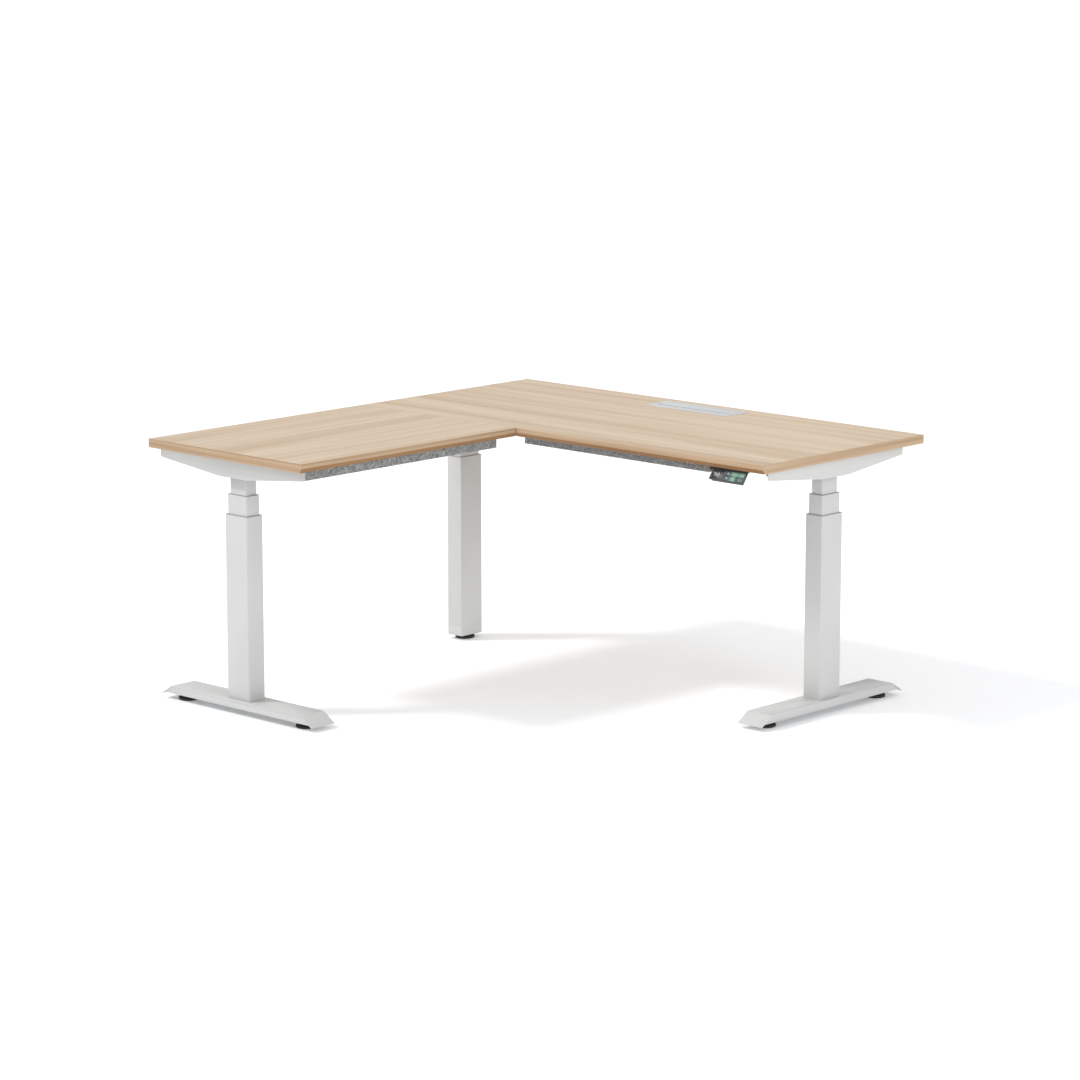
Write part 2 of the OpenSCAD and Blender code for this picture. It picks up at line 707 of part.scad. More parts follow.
beam_top = foot_h - foot_sheet;
beam_l = foot_flat - 12;                    // clear of the cover's folded ends
beam_low = foot_skirt + 2;
nut_h = 16;
nut_seat = 1;                               // how far the nut laps the channel's hole
nut_wall = 2;                               // wall of the threaded boss in the base cap
cap_web = 5;                                // top plate of the corner leg's base cap
module nut_ring() difference() {
    circle(d = nut_d);
    circle(d = stem_d + 2 * stem_gap);
}
module foot_beams() {
    color(steel) for (leg = T_LEGS) at_leg(leg) {
        difference() {
            translate([-beam_l / 2, -beam_w / 2, beam_low])
                cube([beam_l, beam_w, beam_top - beam_low]);
            translate([-beam_l / 2 - cut, -beam_w / 2 + beam_t, beam_low - cut])
                cube([beam_l + 2 * cut, beam_w - 2 * beam_t, beam_top - beam_low - beam_t + cut]);
            translate([0, 0, beam_top - beam_t - cut]) base_bolt_places()
                cylinder(h = beam_t + 2 * cut, d = bolt_d + 2 * bolt_gap);
            for (x = [-1, 1]) translate([x * leveller_off, 0, beam_top - beam_t - cut])
                cylinder(h = beam_t + 2 * cut, d = nut_d - 2 * nut_seat);
        }
        for (x = [-1, 1])
            translate([x * leveller_off, 0, beam_top - nut_h]) linear_extrude(nut_h) nut_ring();
    }
}

// The corner leg stands on a short cap with its own levelling foot
module corner_base_cap() {
    color(white) at_leg(CORNER) difference() {
        translate([0, 0, cap_z]) linear_extrude(foot_h - cap_z) round_rect(outer_l, outer_w, tube_r);
        translate([0, 0, cap_z - cut]) linear_extrude(foot_h - cap_z - cap_web + cut) difference() {
            round_rect(outer_l - 2 * tube_wall, outer_w - 2 * tube_wall, tube_r - tube_wall);
            circle(d = nut_d + 2 * nut_wall);
        }
        translate([0, 0, cap_z - cut])
            cylinder(h = foot_h - cap_z + 2 * cut, d = stem_d + 2 * stem_gap);
        translate([0, 0, cap_z - cut]) base_bolt_places()
            cylinder(h = foot_h - cap_z + 2 * cut, d = bolt_d + 2 * bolt_gap);
    }
}

module foot_bolts() {
    color(steel) {
        for (leg = T_LEGS) at_leg(leg) translate([0, 0, foot_h + plate_t]) base_bolt_places()
            bolt(plate_t + foot_sheet + beam_t);
        at_leg(CORNER) translate([0, 0, foot_h + plate_t]) base_bolt_places()
            bolt(plate_t + cap_web);
    }
}

// A pad with a chamfered foot, an upright rim and a shoulder that rises to the stem
pad_chamfer = 2;
pad_rim = 0.6;                              // height of the rim, as a share of the pad's
pad_shoulder = [3, 0.85];                   // inset and height share of the shoulder
module leveller(leg, x) {
    color(black) at_leg(leg) translate([x, 0, 0]) {
        rotate_extrude() polygon([[0, 0], [pad_r - pad_chamfer, 0], [pad_r, pad_chamfer],
            [pad_r, pad_h * pad_rim], [pad_r - pad_shoulder[0], pad_h * pad_shoulder[1]],
            [stem_d, pad_h], [0, pad_h]]);
        translate([0, 0, pad_h]) cylinder(h = stem_l, d = stem_d);
    }
}
module left_foot_leveller_outer() leveller(LEFT, -leveller_off);
module left_foot_leveller_inner() leveller(LEFT, leveller_off);
module right_foot_leveller_front() leveller(RIGHT, -leveller_off);
module right_foot_leveller_rear() leveller(RIGHT, leveller_off);
module corner_leveller() leveller(CORNER, 0);

// ---------- frame rails ----------

arm_face = arm_w / 2;
rail_z = under_z - rail_drop - rail_h / 2;
// Each rail: start x, start y, length, turn, wall at its start, wall at its end
MAIN_RAILS = [for (y = rail_y)
    [CORNER[0] + arm_face, y, RIGHT[0] - CORNER[0] - 2 * arm_face, 0, arm_sheet, arm_sheet]];
RETURN_RAILS = [for (x = rail_x)
    [x, LEFT[1] + arm_face, rail_y[0] - rail_w / 2 - LEFT[1] - arm_face, 90, arm_sheet, rail_wall]];
RAILS = concat(MAIN_RAILS, RETURN_RAILS);
bolt_side = rail_w / 2 + 9;                 // from a rail's middle to each bolt
end_plate_w = 2 * bolt_side + 16;

module at_rail(r) translate([r[0], r[1], rail_z]) rotate([0, 0, r[3]]) children();

// A rail is a rectangular tube with an end plate welded on at both ends
module rail(r) difference() {
    at_rail(r) {
        difference() {
            translate([end_plate_t, -rail_w / 2, -rail_h / 2])
                cube([r[2] - 2 * end_plate_t, rail_w, rail_h]);
            translate([end_plate_t - cut, -rail_w / 2 + rail_wall, -rail_h / 2 + rail_wall])
                cube([r[2] - 2 * end_plate_t + 2 * cut, rail_w - 2 * rail_wall,
                    rail_h - 2 * rail_wall]);
        }
        for (x = [0, r[2] - end_plate_t])
            translate([x, -end_plate_w / 2, -rail_h / 2]) cube([end_plate_t, end_plate_w, rail_h]);
    }
    rail_bolt_places(r) {
        bolt_hole(end_plate_t);
        bolt_hole(end_plate_t);
    }
}

// Bolts at both ends of a rail, each along the rail with its head on the end plate
module rail_bolt_places(r) at_rail(r) for (y = [-1, 1]) {
    translate([end_plate_t, y * bolt_side, 0]) rotate([0, 90, 0]) children(0);
    translate([r[2] - end_plate_t, y * bolt_side, 0]) rotate([0, -90, 0]) children(1);
}
module rail_bolt_holes() for (r = RAILS) rail_bolt_places(r) {
    bolt_hole(end_plate_t + r[4]);
    bolt_hole(end_plate_t + r[5]);
}
module bolt_hole(depth)
    translate([0, 0, -depth - cut]) cylinder(h = depth + 2 * cut, d = bolt_d + 2 * bolt_gap);

module main_rails() {
    color(steel) difference() {
        for (r = MAIN_RAILS) rail(r);
        for (r = RETURN_RAILS) rail_bolt_places(r) {
            bolt_hole(0);
            bolt_hole(end_plate_t + r[5]);
        }
    }
}
module return_rails() color(steel) for (r = RETURN_RAILS) rail(r);

module frame_bolts() {
    color(steel) {
        for (r = RAILS) rail_bolt_places(r) {
            bolt(end_plate_t + r[4]);
            bolt(end_plate_t + r[5]);
        }
        for (leg = LEGS) at_leg(leg) head_bolt_places() translate([0, 0, head_t])
            bolt(head_t + arm_sheet);
    }
}

// ---------- felt trays ----------

// A trough along local X: a front wall at y = 0, a floor, a rear wall and two flanges. The
// front wall can run on past the trough by lead, to cover an arm's end, and its flange turns
// outwards or, where the board ends close by, inwards.
outlet_l = 44;                              // slots in the floor that let cables hang out
outlet_w = 22;
outlet_gap = 4;                             // between the slots and the front wall
module trough(l, lead, outwards) {
    translate([-lead, 0, -tray_h]) cube([l + lead, felt_t, tray_h]);
    difference() {
        translate([0, 0, -tray_h]) cube([l, tray_w, felt_t]);
        for (s = tray_hold)
            translate([s * l - outlet_l / 2, felt_t + outlet_gap, -tray_h - cut])
                cube([outlet_l, outlet_w, felt_t + 2 * cut]);
    }
    translate([0, tray_w - felt_t, -tray_h]) cube([l, felt_t, tray_h]);
    translate([0, outwards ? -tray_flange : 0, -felt_t]) cube([l, felt_t + tray_flange, felt_t]);
    translate([0, tray_w - felt_t, -felt_t]) cube([l, felt_t + tray_flange, felt_t]);
}

module main_cable_tray() {
    color(felt) difference() {
        translate([main_tray_x, main_tray_y, under_z]) trough(main_tray_l, 0, true);
        screw_holes(TRAY_SCREWS);
    }
}

module return_cable_tray() {
    color(felt) difference() {
        translate([return_tray_x, return_trough_y, under_z]) rotate([0, 0, 90])
            trough(return_trough_l, arm_w + felt_t, false);
        screw_holes(TRAY_SCREWS);
    }
}

// ---------- control box ----------

box_r = 6;                                  // corner radius of the box
box_tab_side = 8;                           // from the box's sides to its tabs' sides
inlet_l = 27;
inlet_h = 20;
inlet_deep = 16;
inlet_wall = 1.6;
inlet_x = box_x + box_l / 2 - inlet_deep;
inlet_y = box_y - inlet_l / 2;
inlet_z = under_z - box_h / 2 - inlet_h / 2;
module control_box() {
    color(black) difference() {
        union() {
            translate([box_x, box_y, under_z - box_h]) linear_extrude(box_h)
                round_rect(box_l, box_w, box_r);
            translate([box_x - box_l / 2 - box_tab, box_y - box_w / 2 + box_tab_side,
                under_z - box_tab_t])
                cube([box_l + 2 * box_tab, box_w - 2 * box_tab_side, box_tab_t]);
        }
        screw_holes(BOX_SCREWS);
        translate([inlet_x, inlet_y, inlet_z]) cube([inlet_deep + cut, inlet_l, inlet_h]);
    }
}

// The mains inlet: a recess with three pins, sunk in the box's right end
pin_size = [9, 2, 4];                       // length, width and height of a pin
pin_spots = [[-7, -1], [0, 3], [7, -1]];    // sideways and upwards from the recess's middle
pin_root = 0.1;                             // how far a pin is moulded into the floor
module power_inlet() {
    color(black) difference() {
        translate([inlet_x, inlet_y, inlet_z]) cube([inlet_deep, inlet_l, inlet_h]);
        translate([inlet_x + inlet_wall, inlet_y + inlet_wall, inlet_z + inlet_wall])
            cube([inlet_deep, inlet_l - 2 * inlet_wall, inlet_h - 2 * inlet_wall]);
    }
    color(steel) for (p = pin_spots)
        translate([inlet_x + inlet_wall - pin_root, box_y + p[0] - pin_size[1] / 2,
            under_z - box_h / 2 + p[1] - pin_size[2] / 2]) cube(pin_size);
}

// ---------- handset ----------

face_y = seam_y - handset_out;              // lower edge of the sloping face
face_z = under_z - handset_drop;
bezel_t = 4;                                // plate that carries the keys
housing_t = 12;                             // from the face to the back of the housing behind it
housing_in = 6;                             // from the handset's ends to the housing's ends
neck_h = 8;                                 // height of the neck that reaches back to the tab

// Face frame: local X to the right, local Y up the face, local Z out of it
module on_face() translate([handset_x, face_y, face_z]) rotate([90 - handset_tilt, 0, 0]) children();

// Key fields on the face: [x from, x to, y from, y to] inside the panel
panel_x = -handset_w / 2 + 48;              // the display lies to the left of it
panel_end = handset_w / 2 - 4;
panel_rim = 1.5;
panel_low = panel_rim;
panel_high = handset_face - panel_rim;
panel_mid = (panel_low + panel_high) / 2;
arrow_x = panel_x + 21;                     // right side of the arrow keys
memory_x = panel_x + 41;                    // left side of the memory key
number_x = (arrow_x + panel_end) / 2;
KEY_UP = [panel_x, arrow_x, panel_mid, panel_high];
KEY_DOWN = [panel_x, arrow_x, panel_low, panel_mid];
KEY_1 = [arrow_x, number_x, panel_mid, panel_high];
KEY_2 = [number_x, panel_end, panel_mid, panel_high];
KEY_3 = [arrow_x, memory_x, panel_low, panel_mid];
KEY_M = [memory_x, panel_end, panel_low, panel_mid];
floor_gap = 0.5;                            // left under a key that is pressed right down
pocket = button_t - button_proud + button_travel + floor_gap;

module key(k) on_face() translate([k[0] + button_gap, k[2] + button_gap, button_proud - button_t])
    cube([k[1] - k[0] - 2 * button_gap, k[3] - k[2] - 2 * button_gap, button_t]);

display_l = 38;
display_t = 1;
display_x = -handset_w / 2 + 5;
display_low = panel_low + 1;
display_w = panel_high - panel_low - 2;
// Side view of a slab that lies behind the sloping face and ends at the board's underside
function slab(t) = [[0, 0], [t * cos(handset_tilt), -t * sin(handset_tilt)],
    [t / cos(handset_tilt) + handset_drop * tan(handset_tilt), handset_drop],
    [handset_drop * tan(handset_tilt), handset_drop]];
module along_handset(inset)
    translate([handset_x - handset_w / 2 + inset, face_y, face_z]) rotate([90, 0, 90])
        linear_extrude(handset_w - 2 * inset) children();

module handset_body() {
    color(black) difference() {
        union() {
            along_handset(0) polygon(slab(bezel_t));
            along_handset(housing_in) polygon(slab(housing_t));
            along_handset(handset_tab_side) translate([handset_depth / 2, handset_drop - neck_h])
                square([handset_depth / 2 + handset_out, neck_h]);
            translate([handset_x - handset_w / 2 + handset_tab_side, seam_y + handset_depth - cut,
                under_z - handset_tab_t])
                cube([handset_w - 2 * handset_tab_side, handset_tab + cut, handset_tab_t]);
        }
        on_face() translate([panel_x, panel_low, -pocket])
            cube([panel_end - panel_x, panel_high - panel_low, pocket + cut]);
        on_face() translate([display_x, display_low, -display_t])
            cube([display_l, display_w, display_t + cut]);
        screw_holes(HANDSET_SCREWS);
    }
}
module handset_display() color("black") on_face()
    translate([display_x, display_low, -display_t]) cube([display_l, display_w, display_t]);
module button_up() color(slate) key(KEY_UP);
module button_down() color(slate) key(KEY_DOWN);
module button_1() color(green) key(KEY_1);
module button_2() color(green) key(KEY_2);
module button_3() color(green) key(KEY_3);
module button_memory() color(slate) key(KEY_M);

// ---------- cable port ----------

sleeve_low = under_z - 2;                   // the sleeve's lower rim shows under the board
module cable_port_frame() {
    color(white) difference() {
        union() {
            port_plate(0, port_top - port_t, port_top);
            port_box(sleeve_t, sleeve_low, port_top - port_t);
        }
        port_box(0, sleeve_low - cut, port_top + cut);
        translate([port_x - port_open_l / 2 - sleeve_t - cut, hinge_y, hinge_z]) rotate([0, 90, 0])
            cylinder(h = port_open_l + 2 * (sleeve_t + cut), d = pin_d);
    }
}

// The lid is a sheet whose rear edge is a round barrel on the hinge pin
lid_l = port_open_l - 2 * lid_gap;
lid_y0 = port_open_y0 + slot_w;
notch_side = 2;                             // between the notch and the lid's left end
module cable_port_lid() {
    color(white) difference() {
        union() {
            translate([port_x - lid_l / 2, lid_y0, port_top - port_t])
                cube([lid_l, hinge_y - lid_y0, port_t]);
            translate([port_x - lid_l / 2, hinge_y, hinge_z]) rotate([0, 90, 0])
                cylinder(h = lid_l, r = barrel_r);
        }
        translate([port_x - lid_l / 2 - cut, hinge_y, hinge_z]) rotate([0, 90, 0])
            cylinder(h = lid_l + 2 * cut, d = pin_d + 2 * pin_gap);
        translate([port_x - lid_l / 2 + notch_r + notch_side, lid_y0, port_top - port_t - cut])
            cylinder(h = port_t + 2 * cut, r = notch_r);
    }
}
module cable_port_pin() color(steel)
    translate([port_x - port_open_l / 2 - sleeve_t, hinge_y, hinge_z]) rotate([0, 90, 0])
        cylinder(h = port_open_l + 2 * sleeve_t, d = pin_d);

// A strip of bristles fills the slot
brush_h = 16;
brush_drop = 0.4;                           // below the plate's top face
brush_gap = 0.6;                            // in front of the lid
module cable_port_brush() color(black)
    translate([port_x - lid_l / 2, port_open_y0, port_top - brush_drop - brush_h])
        cube([lid_l, slot_w - brush_gap, brush_h]);

left_foot_cover();
right_foot_cover();
foot_beams();
corner_base_cap();
left_outer_tube();
right_outer_tube();
corner_outer_tube();
outer_glides();
column_base_plates();
foot_bolts();
push_tubes();
left_mid_tube();
right_mid_tube();
corner_mid_tube();
left_mid_glide();
right_mid_glide();
corner_mid_glide();
left_hollow_screw();
right_hollow_screw();
corner_hollow_screw();
left_inner_tube();
right_inner_tube();
corner_inner_tube();
left_drive_screw();
right_drive_screw();
corner_drive_screw();
head_plates();
drive_motors();
left_arm();
right_arm();
corner_arm();
main_rails();
return_rails();
frame_bolts();
main_desktop();
return_desktop();
edge_bands();
seam_plates();
wood_screws();
main_cable_tray();
return_cable_tray();
control_box();
power_inlet();
handset_body();
handset_display();
button_up();
button_down();
button_1();
button_2();
button_3();
button_memory();
cable_port_frame();
cable_port_brush();
cable_port_pin();
cable_port_lid();
left_foot_leveller_outer();
left_foot_leveller_inner();
right_foot_leveller_front();
right_foot_leveller_rear();
corner_leveller();
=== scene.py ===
# %% [markdown]
# # A three-legged electric standing desk, finished in Blender
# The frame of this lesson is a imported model: every part is already in its true place and moves
# with its own body. This script gives each part its finish and swaps the plain solids that show
# for pieces with rounded edges, threads, bristles and legends. Positions are read from the
# model, so nothing here is placed by eye.

# %% Load the model
import json
import math

import bmesh
import bpy
import numpy as np
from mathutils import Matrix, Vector

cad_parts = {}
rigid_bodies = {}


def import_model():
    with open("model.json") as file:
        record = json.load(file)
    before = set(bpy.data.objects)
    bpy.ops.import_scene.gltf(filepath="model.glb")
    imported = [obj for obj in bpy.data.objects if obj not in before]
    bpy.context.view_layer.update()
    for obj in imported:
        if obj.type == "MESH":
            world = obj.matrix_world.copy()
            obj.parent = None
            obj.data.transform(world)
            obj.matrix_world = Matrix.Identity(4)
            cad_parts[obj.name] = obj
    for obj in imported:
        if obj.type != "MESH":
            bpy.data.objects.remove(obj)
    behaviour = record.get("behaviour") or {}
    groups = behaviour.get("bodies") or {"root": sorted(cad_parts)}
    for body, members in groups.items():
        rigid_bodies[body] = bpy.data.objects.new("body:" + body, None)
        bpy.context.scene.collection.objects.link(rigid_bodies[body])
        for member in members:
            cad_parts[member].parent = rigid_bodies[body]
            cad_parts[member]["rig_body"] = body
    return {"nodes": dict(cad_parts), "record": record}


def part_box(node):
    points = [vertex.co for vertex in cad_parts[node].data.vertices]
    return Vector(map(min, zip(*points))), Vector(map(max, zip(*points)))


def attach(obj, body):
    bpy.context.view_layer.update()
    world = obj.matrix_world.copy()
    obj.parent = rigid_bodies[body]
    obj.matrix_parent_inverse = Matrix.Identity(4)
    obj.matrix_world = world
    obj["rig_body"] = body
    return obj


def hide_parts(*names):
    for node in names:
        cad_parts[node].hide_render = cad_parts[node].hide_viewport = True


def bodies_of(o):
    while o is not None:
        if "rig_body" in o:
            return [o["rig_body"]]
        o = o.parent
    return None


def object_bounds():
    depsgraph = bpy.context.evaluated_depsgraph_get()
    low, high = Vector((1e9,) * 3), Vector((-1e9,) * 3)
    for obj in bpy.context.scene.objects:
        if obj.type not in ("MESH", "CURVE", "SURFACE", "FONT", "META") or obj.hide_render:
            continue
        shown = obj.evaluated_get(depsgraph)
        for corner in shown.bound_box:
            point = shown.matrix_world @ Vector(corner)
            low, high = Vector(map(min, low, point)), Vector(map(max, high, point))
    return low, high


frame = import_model()
cad_low, cad_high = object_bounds()
MM = 0.001
print("nodes:", len(frame["nodes"]), "size:", [round(v, 3) for v in cad_high - cad_low])

# %% [markdown]
# ## Camera
# A desk is a wide, low thing, and a long lens from far away keeps its verticals nearly upright,
# as in a catalogue. The camera looks along an azimuth and a pitch at a point just beside the
# middle of the desk, so those three values place it without any shift of the lens.

# %% Aim a long lens at the desk
AZIMUTH, PITCH, DISTANCE = 43.28, 11.016, 10.4
LENS_MM, SENSOR_MM, FAR_CLIP = 125.4, 36, 200
BESIDE_MIDDLE = Vector((0.078, -0.072, 0.098))
aim = (cad_low + cad_high) / 2 + BESIDE_MIDDLE
turn, tilt = math.radians(AZIMUTH), math.radians(PITCH)
back = Vector((math.sin(turn) * math.cos(tilt), -math.cos(turn) * math.cos(tilt),
               math.sin(tilt)))
lens = bpy.data.cameras.new("camera")
lens.lens, lens.sensor_width = LENS_MM, SENSOR_MM
lens.clip_end = FAR_CLIP
camera = bpy.data.objects.new("camera", lens)
camera.location = aim + back * DISTANCE
camera.rotation_euler = (math.pi / 2 - tilt, 0, turn)
bpy.context.scene.collection.objects.link(camera)
bpy.context.scene.camera = camera
print("camera at", [round(v, 2) for v in camera.location])

# %% [markdown]
# ## Helpers for colour and nodes
# Colours are written as sRGB hex values, the way a paint chart gives them, and one function
# turns them into the linear values that a shader works with. One more function adds a node:
# its settings are keywords, and its inputs are numbers, colours or other nodes' sockets.

# %% Colour and node helpers
def linear(code, alpha=1.0):
    """An sRGB hex colour as linear light: c / 12.92, or ((c + 0.055) / 1.055) to the 2.4."""
    parts = [int(code[i : i + 2], 16) / 255 for i in (1, 3, 5)]
    return (*[c / 12.92 if c <= 0.04045 else ((c + 0.055) / 1.055) ** 2.4 for c in parts], alpha)


def add(tree, kind, inputs=None, **settings):
    """Adds one node, sets its properties and fills its inputs from values or sockets."""
    node = tree.nodes.new(kind)
    for key, value in settings.items():
        setattr(node, key, value)
    for key, value in (inputs or {}).items():
        if isinstance(value, bpy.types.NodeSocket):
            tree.links.new(value, node.inputs[key])
        else:
            node.inputs[key].default_value = value
    return node


def surface(name):
    """A new material: its node tree, its shader and a Texture Coordinate node."""
    material = bpy.data.materials.new(name)
    material.use_nodes = True
    tree = material.node_tree
    return material, tree, tree.nodes["Principled BSDF"], add(tree, "ShaderNodeTexCoord")


def ramp(tree, factor, stops):
    """A colour ramp with its stops as (position, hex colour)."""
    node = add(tree, "ShaderNodeValToRGB", {"Fac": factor})
    elements = node.color_ramp.elements
    while len(elements) < len(stops):
        elements.new(0.5)
    for element, (position, code) in zip(elements, stops):
        element.position, element.color = position, linear(code)
    return node.outputs["Color"]


# %% [markdown]
# ## Powder-coated steel
# The legs, arms and feet are steel sheet and tube with a baked powder coat. Powder melts into a
# skin with a very fine orange peel, so it is neither flat nor glossy: the eye reads a soft,
# broad highlight. The real peel is a few tenths of a millimetre across, and is drawn a little
# coarser here so that it shows at all.

# %% White powder coat
def powder_coat(name, light, dark, peel_mm=1.6, rough=0.42):
    material, tree, shader, place = surface(name)
    peel = add(tree, "ShaderNodeTexNoise", {"Vector": place.outputs["Object"],
               "Scale": 1000 / peel_mm, "Detail": 2.0, "Roughness": 0.5})
    cloud = add(tree, "ShaderNodeTexNoise", {"Vector": place.outputs["Object"],
                "Scale": 4.0, "Detail": 3.0})
    colour = ramp(tree, cloud.outputs["Fac"], [(0.35, dark), (0.65, light)])
    tree.links.new(colour, shader.inputs["Base Color"])
    gloss = add(tree, "ShaderNodeMapRange", {"Value": cloud.outputs["Fac"], "From Min": 0.3,
                "From Max": 0.7, "To Min": rough - 0.04, "To Max": rough + 0.05})
    tree.links.new(gloss.outputs["Result"], shader.inputs["Roughness"])
    bump = add(tree, "ShaderNodeBump", {"Height": peel.outputs["Fac"], "Strength": 0.12,
               "Distance": 0.0002})
    tree.links.new(bump.outputs["Normal"], shader.inputs["Normal"])
    shader.inputs["IOR"].default_value = 1.5
    return material


white_powder = powder_coat("white_powder_coated_steel", "#C6C6C4", "#C1C1BF")
grey_primer = powder_coat("light_grey_primed_steel", "#B4B8BC", "#A8ACB0")
port_white = powder_coat("white_coated_aluminium_sheet", "#BDBEBD", "#B7B8B7", rough=0.38)
print("powder coats made")

# %% [markdown]
# ## Zinc-plated steel
# Bolts, screws and the lifting screws are zinc plated: a thin bright metal skin with a slightly
# uneven, silky look left by the plating bath. It is a metal, so the colour sits in its
# reflection, and the unevenness is in its roughness and in a very shallow grain.

# %% Zinc plate
def zinc_plate(name):
    material, tree, shader, place = surface(name)
    crystals = add(tree, "ShaderNodeTexVoronoi", {"Vector": place.outputs["Object"], "Scale": 700.0})
    smear = add(tree, "ShaderNodeTexNoise", {"Vector": place.outputs["Object"], "Scale": 120.0})
    tint = ramp(tree, crystals.outputs["Color"], [(0.2, "#B9BEC2"), (0.8, "#CDD1D4")])
    tree.links.new(tint, shader.inputs["Base Color"])
    rough = add(tree, "ShaderNodeMapRange", {"Value": smear.outputs["Fac"], "To Min": 0.25,
                "To Max": 0.45})
    tree.links.new(rough.outputs["Result"], shader.inputs["Roughness"])
    shader.inputs["Metallic"].default_value = 1.0
    bump = add(tree, "ShaderNodeBump", {"Height": crystals.outputs["Distance"], "Strength": 0.15,
               "Distance": 0.0001})
    tree.links.new(bump.outputs["Normal"], shader.inputs["Normal"])
    return material


zinc = zinc_plate("bright_zinc_plated_steel")

# %% [markdown]
# ## Oak laminate
# The boards are particle board under a matt decor paper printed as light oak. Its figure is
# three things at three scales: slow bands a hand wide, streaks a few millimetres wide that run
# almost the whole board, and pores, short dark dashes half a millimetre wide. Each is a noise
# field stretched along the grain, and they are mixed rather than layered so that no band
# repeats. The return is its own board, so its grain runs along its own length.

# %% Oak decor
def oak_decor(name, along, tones, rough=0.5):
    """Stretched noise: every field is sampled at (position across / width, along / length)."""
    material, tree, shader, place = surface(name)

    def field(width_mm, length_mm, detail, distortion=0.0, seed=0.0):
        across = 1000 / width_mm
        stretch = {"X": (1000 / length_mm, across, across), "Y": (across, 1000 / length_mm, across)}
        mapping = add(tree, "ShaderNodeMapping", {"Vector": place.outputs["Object"],
                      "Location": (seed, seed * 0.7, seed * 0.4), "Scale": stretch[along]})
        return add(tree, "ShaderNodeTexNoise", {"Vector": mapping.outputs["Vector"], "Scale": 1.0,
                   "Detail": detail, "Roughness": 0.55, "Distortion": distortion}).outputs["Fac"]

    bands = field(85, 1900, 2.0, 0.3, seed=3.1)
    streaks = field(9, 1300, 4.0, 0.15, seed=7.7)
    fine = field(1.6, 320, 3.0, 0.0, seed=1.9)
    pores = field(1.1, 26, 2.0, 0.0, seed=5.3)
    sum_1 = add(tree, "ShaderNodeMix", {"Factor": 0.5, "A": bands, "B": streaks}, data_type="FLOAT")
    sum_2 = add(tree, "ShaderNodeMix", {"Factor": 0.3, "A": sum_1.outputs[0], "B": fine},
                data_type="FLOAT")
    base = ramp(tree, sum_2.outputs[0], [(0.38, tones[0]), (0.47, tones[1]), (0.54, tones[2]),
                                         (0.63, tones[3])])
    dash = add(tree, "ShaderNodeMapRange", {"Value": pores, "From Min": 0.66, "From Max": 0.74,
               "To Min": 0.0, "To Max": 0.35})
    darker = add(tree, "ShaderNodeMix", {"Factor": dash.outputs["Result"], "A": base,
                 "B": linear(tones[4])}, data_type="RGBA")
    tree.links.new(darker.outputs["Result"], shader.inputs["Base Color"])
    gloss = add(tree, "ShaderNodeMapRange", {"Value": fine, "To Min": rough - 0.06,
                "To Max": rough + 0.06})
    tree.links.new(gloss.outputs["Result"], shader.inputs["Roughness"])
    bump = add(tree, "ShaderNodeBump", {"Height": pores, "Strength": 0.15, "Distance": 0.0002})
    tree.links.new(bump.outputs["Normal"], shader.inputs["Normal"])
    shader.inputs["IOR"].default_value = 1.45
    return material


TOP_TONES = ("#B1987A", "#BDA68A", "#C5B197", "#CDBCA6", "#9A7D5B")
EDGE_TONES = ("#9A7C5C", "#AE9172", "#B99D80", "#C2AA91", "#876844")
# The bevel tones are painted shade: much darker than the edge band, for the shade on a face that
# looks down.
PAINTED_SHADE_BEVEL_TONES = ("#77502C", "#866038", "#936D42", "#9F7A4D", "#5F3F22")
oak_main = oak_decor("light_oak_laminate_main", "X", TOP_TONES)
oak_return = oak_decor("light_oak_laminate_return", "Y", TOP_TONES)
edge_main = oak_decor("light_oak_edge_band_along_x", "X", EDGE_TONES)
edge_return = oak_decor("light_oak_edge_band_along_y", "Y", EDGE_TONES)
shaded_bevel_main = oak_decor("oak_bevel_band_painted_shade_along_x", "X", PAINTED_SHADE_BEVEL_TONES, rough=0.55)
shaded_bevel_return = oak_decor("oak_bevel_band_painted_shade_along_y", "Y", PAINTED_SHADE_BEVEL_TONES, rough=0.55)
print("oak made")

# %% [markdown]
# ## Felt, rubber and plastics
# The trays are needle-punched felt pressed from mixed recycled fibre, so light and dark fibres
# lie side by side as a fine mottle, with no shine at all. The pads, the handset and the control
# box are moulded; moulds leave an even spark-eroded grain that breaks the highlight.

# %% Felt
def pressed_felt(name):
    material, tree, shader, place = surface(name)
    fibres = add(tree, "ShaderNodeTexNoise", {"Vector": place.outputs["Object"], "Scale": 420.0,
                 "Detail": 5.0, "Roughness": 0.75, "Distortion": 1.6})
    clumps = add(tree, "ShaderNodeTexNoise", {"Vector": place.outputs["Object"], "Scale": 130.0,
                 "Detail": 3.0, "Roughness": 0.6})
    mottle = add(tree, "ShaderNodeMix", {"Factor": 0.45, "A": fibres.outputs["Fac"],
                 "B": clumps.outputs["Fac"]}, data_type="FLOAT")
    colour = ramp(tree, mottle.outputs[0], [(0.38, "#414140"), (0.46, "#727271"), (0.54, "#929291"),
                                            (0.62, "#C4C4C2")])
    tree.links.new(colour, shader.inputs["Base Color"])
    bump = add(tree, "ShaderNodeBump", {"Height": fibres.outputs["Fac"], "Strength": 0.6,
               "Distance": 0.0008})
    tree.links.new(bump.outputs["Normal"], shader.inputs["Normal"])
    shader.inputs["Roughness"].default_value = 0.95
    shader.inputs["Sheen Weight"].default_value = 0.3
    shader.inputs["Sheen Roughness"].default_value = 0.5
    return material


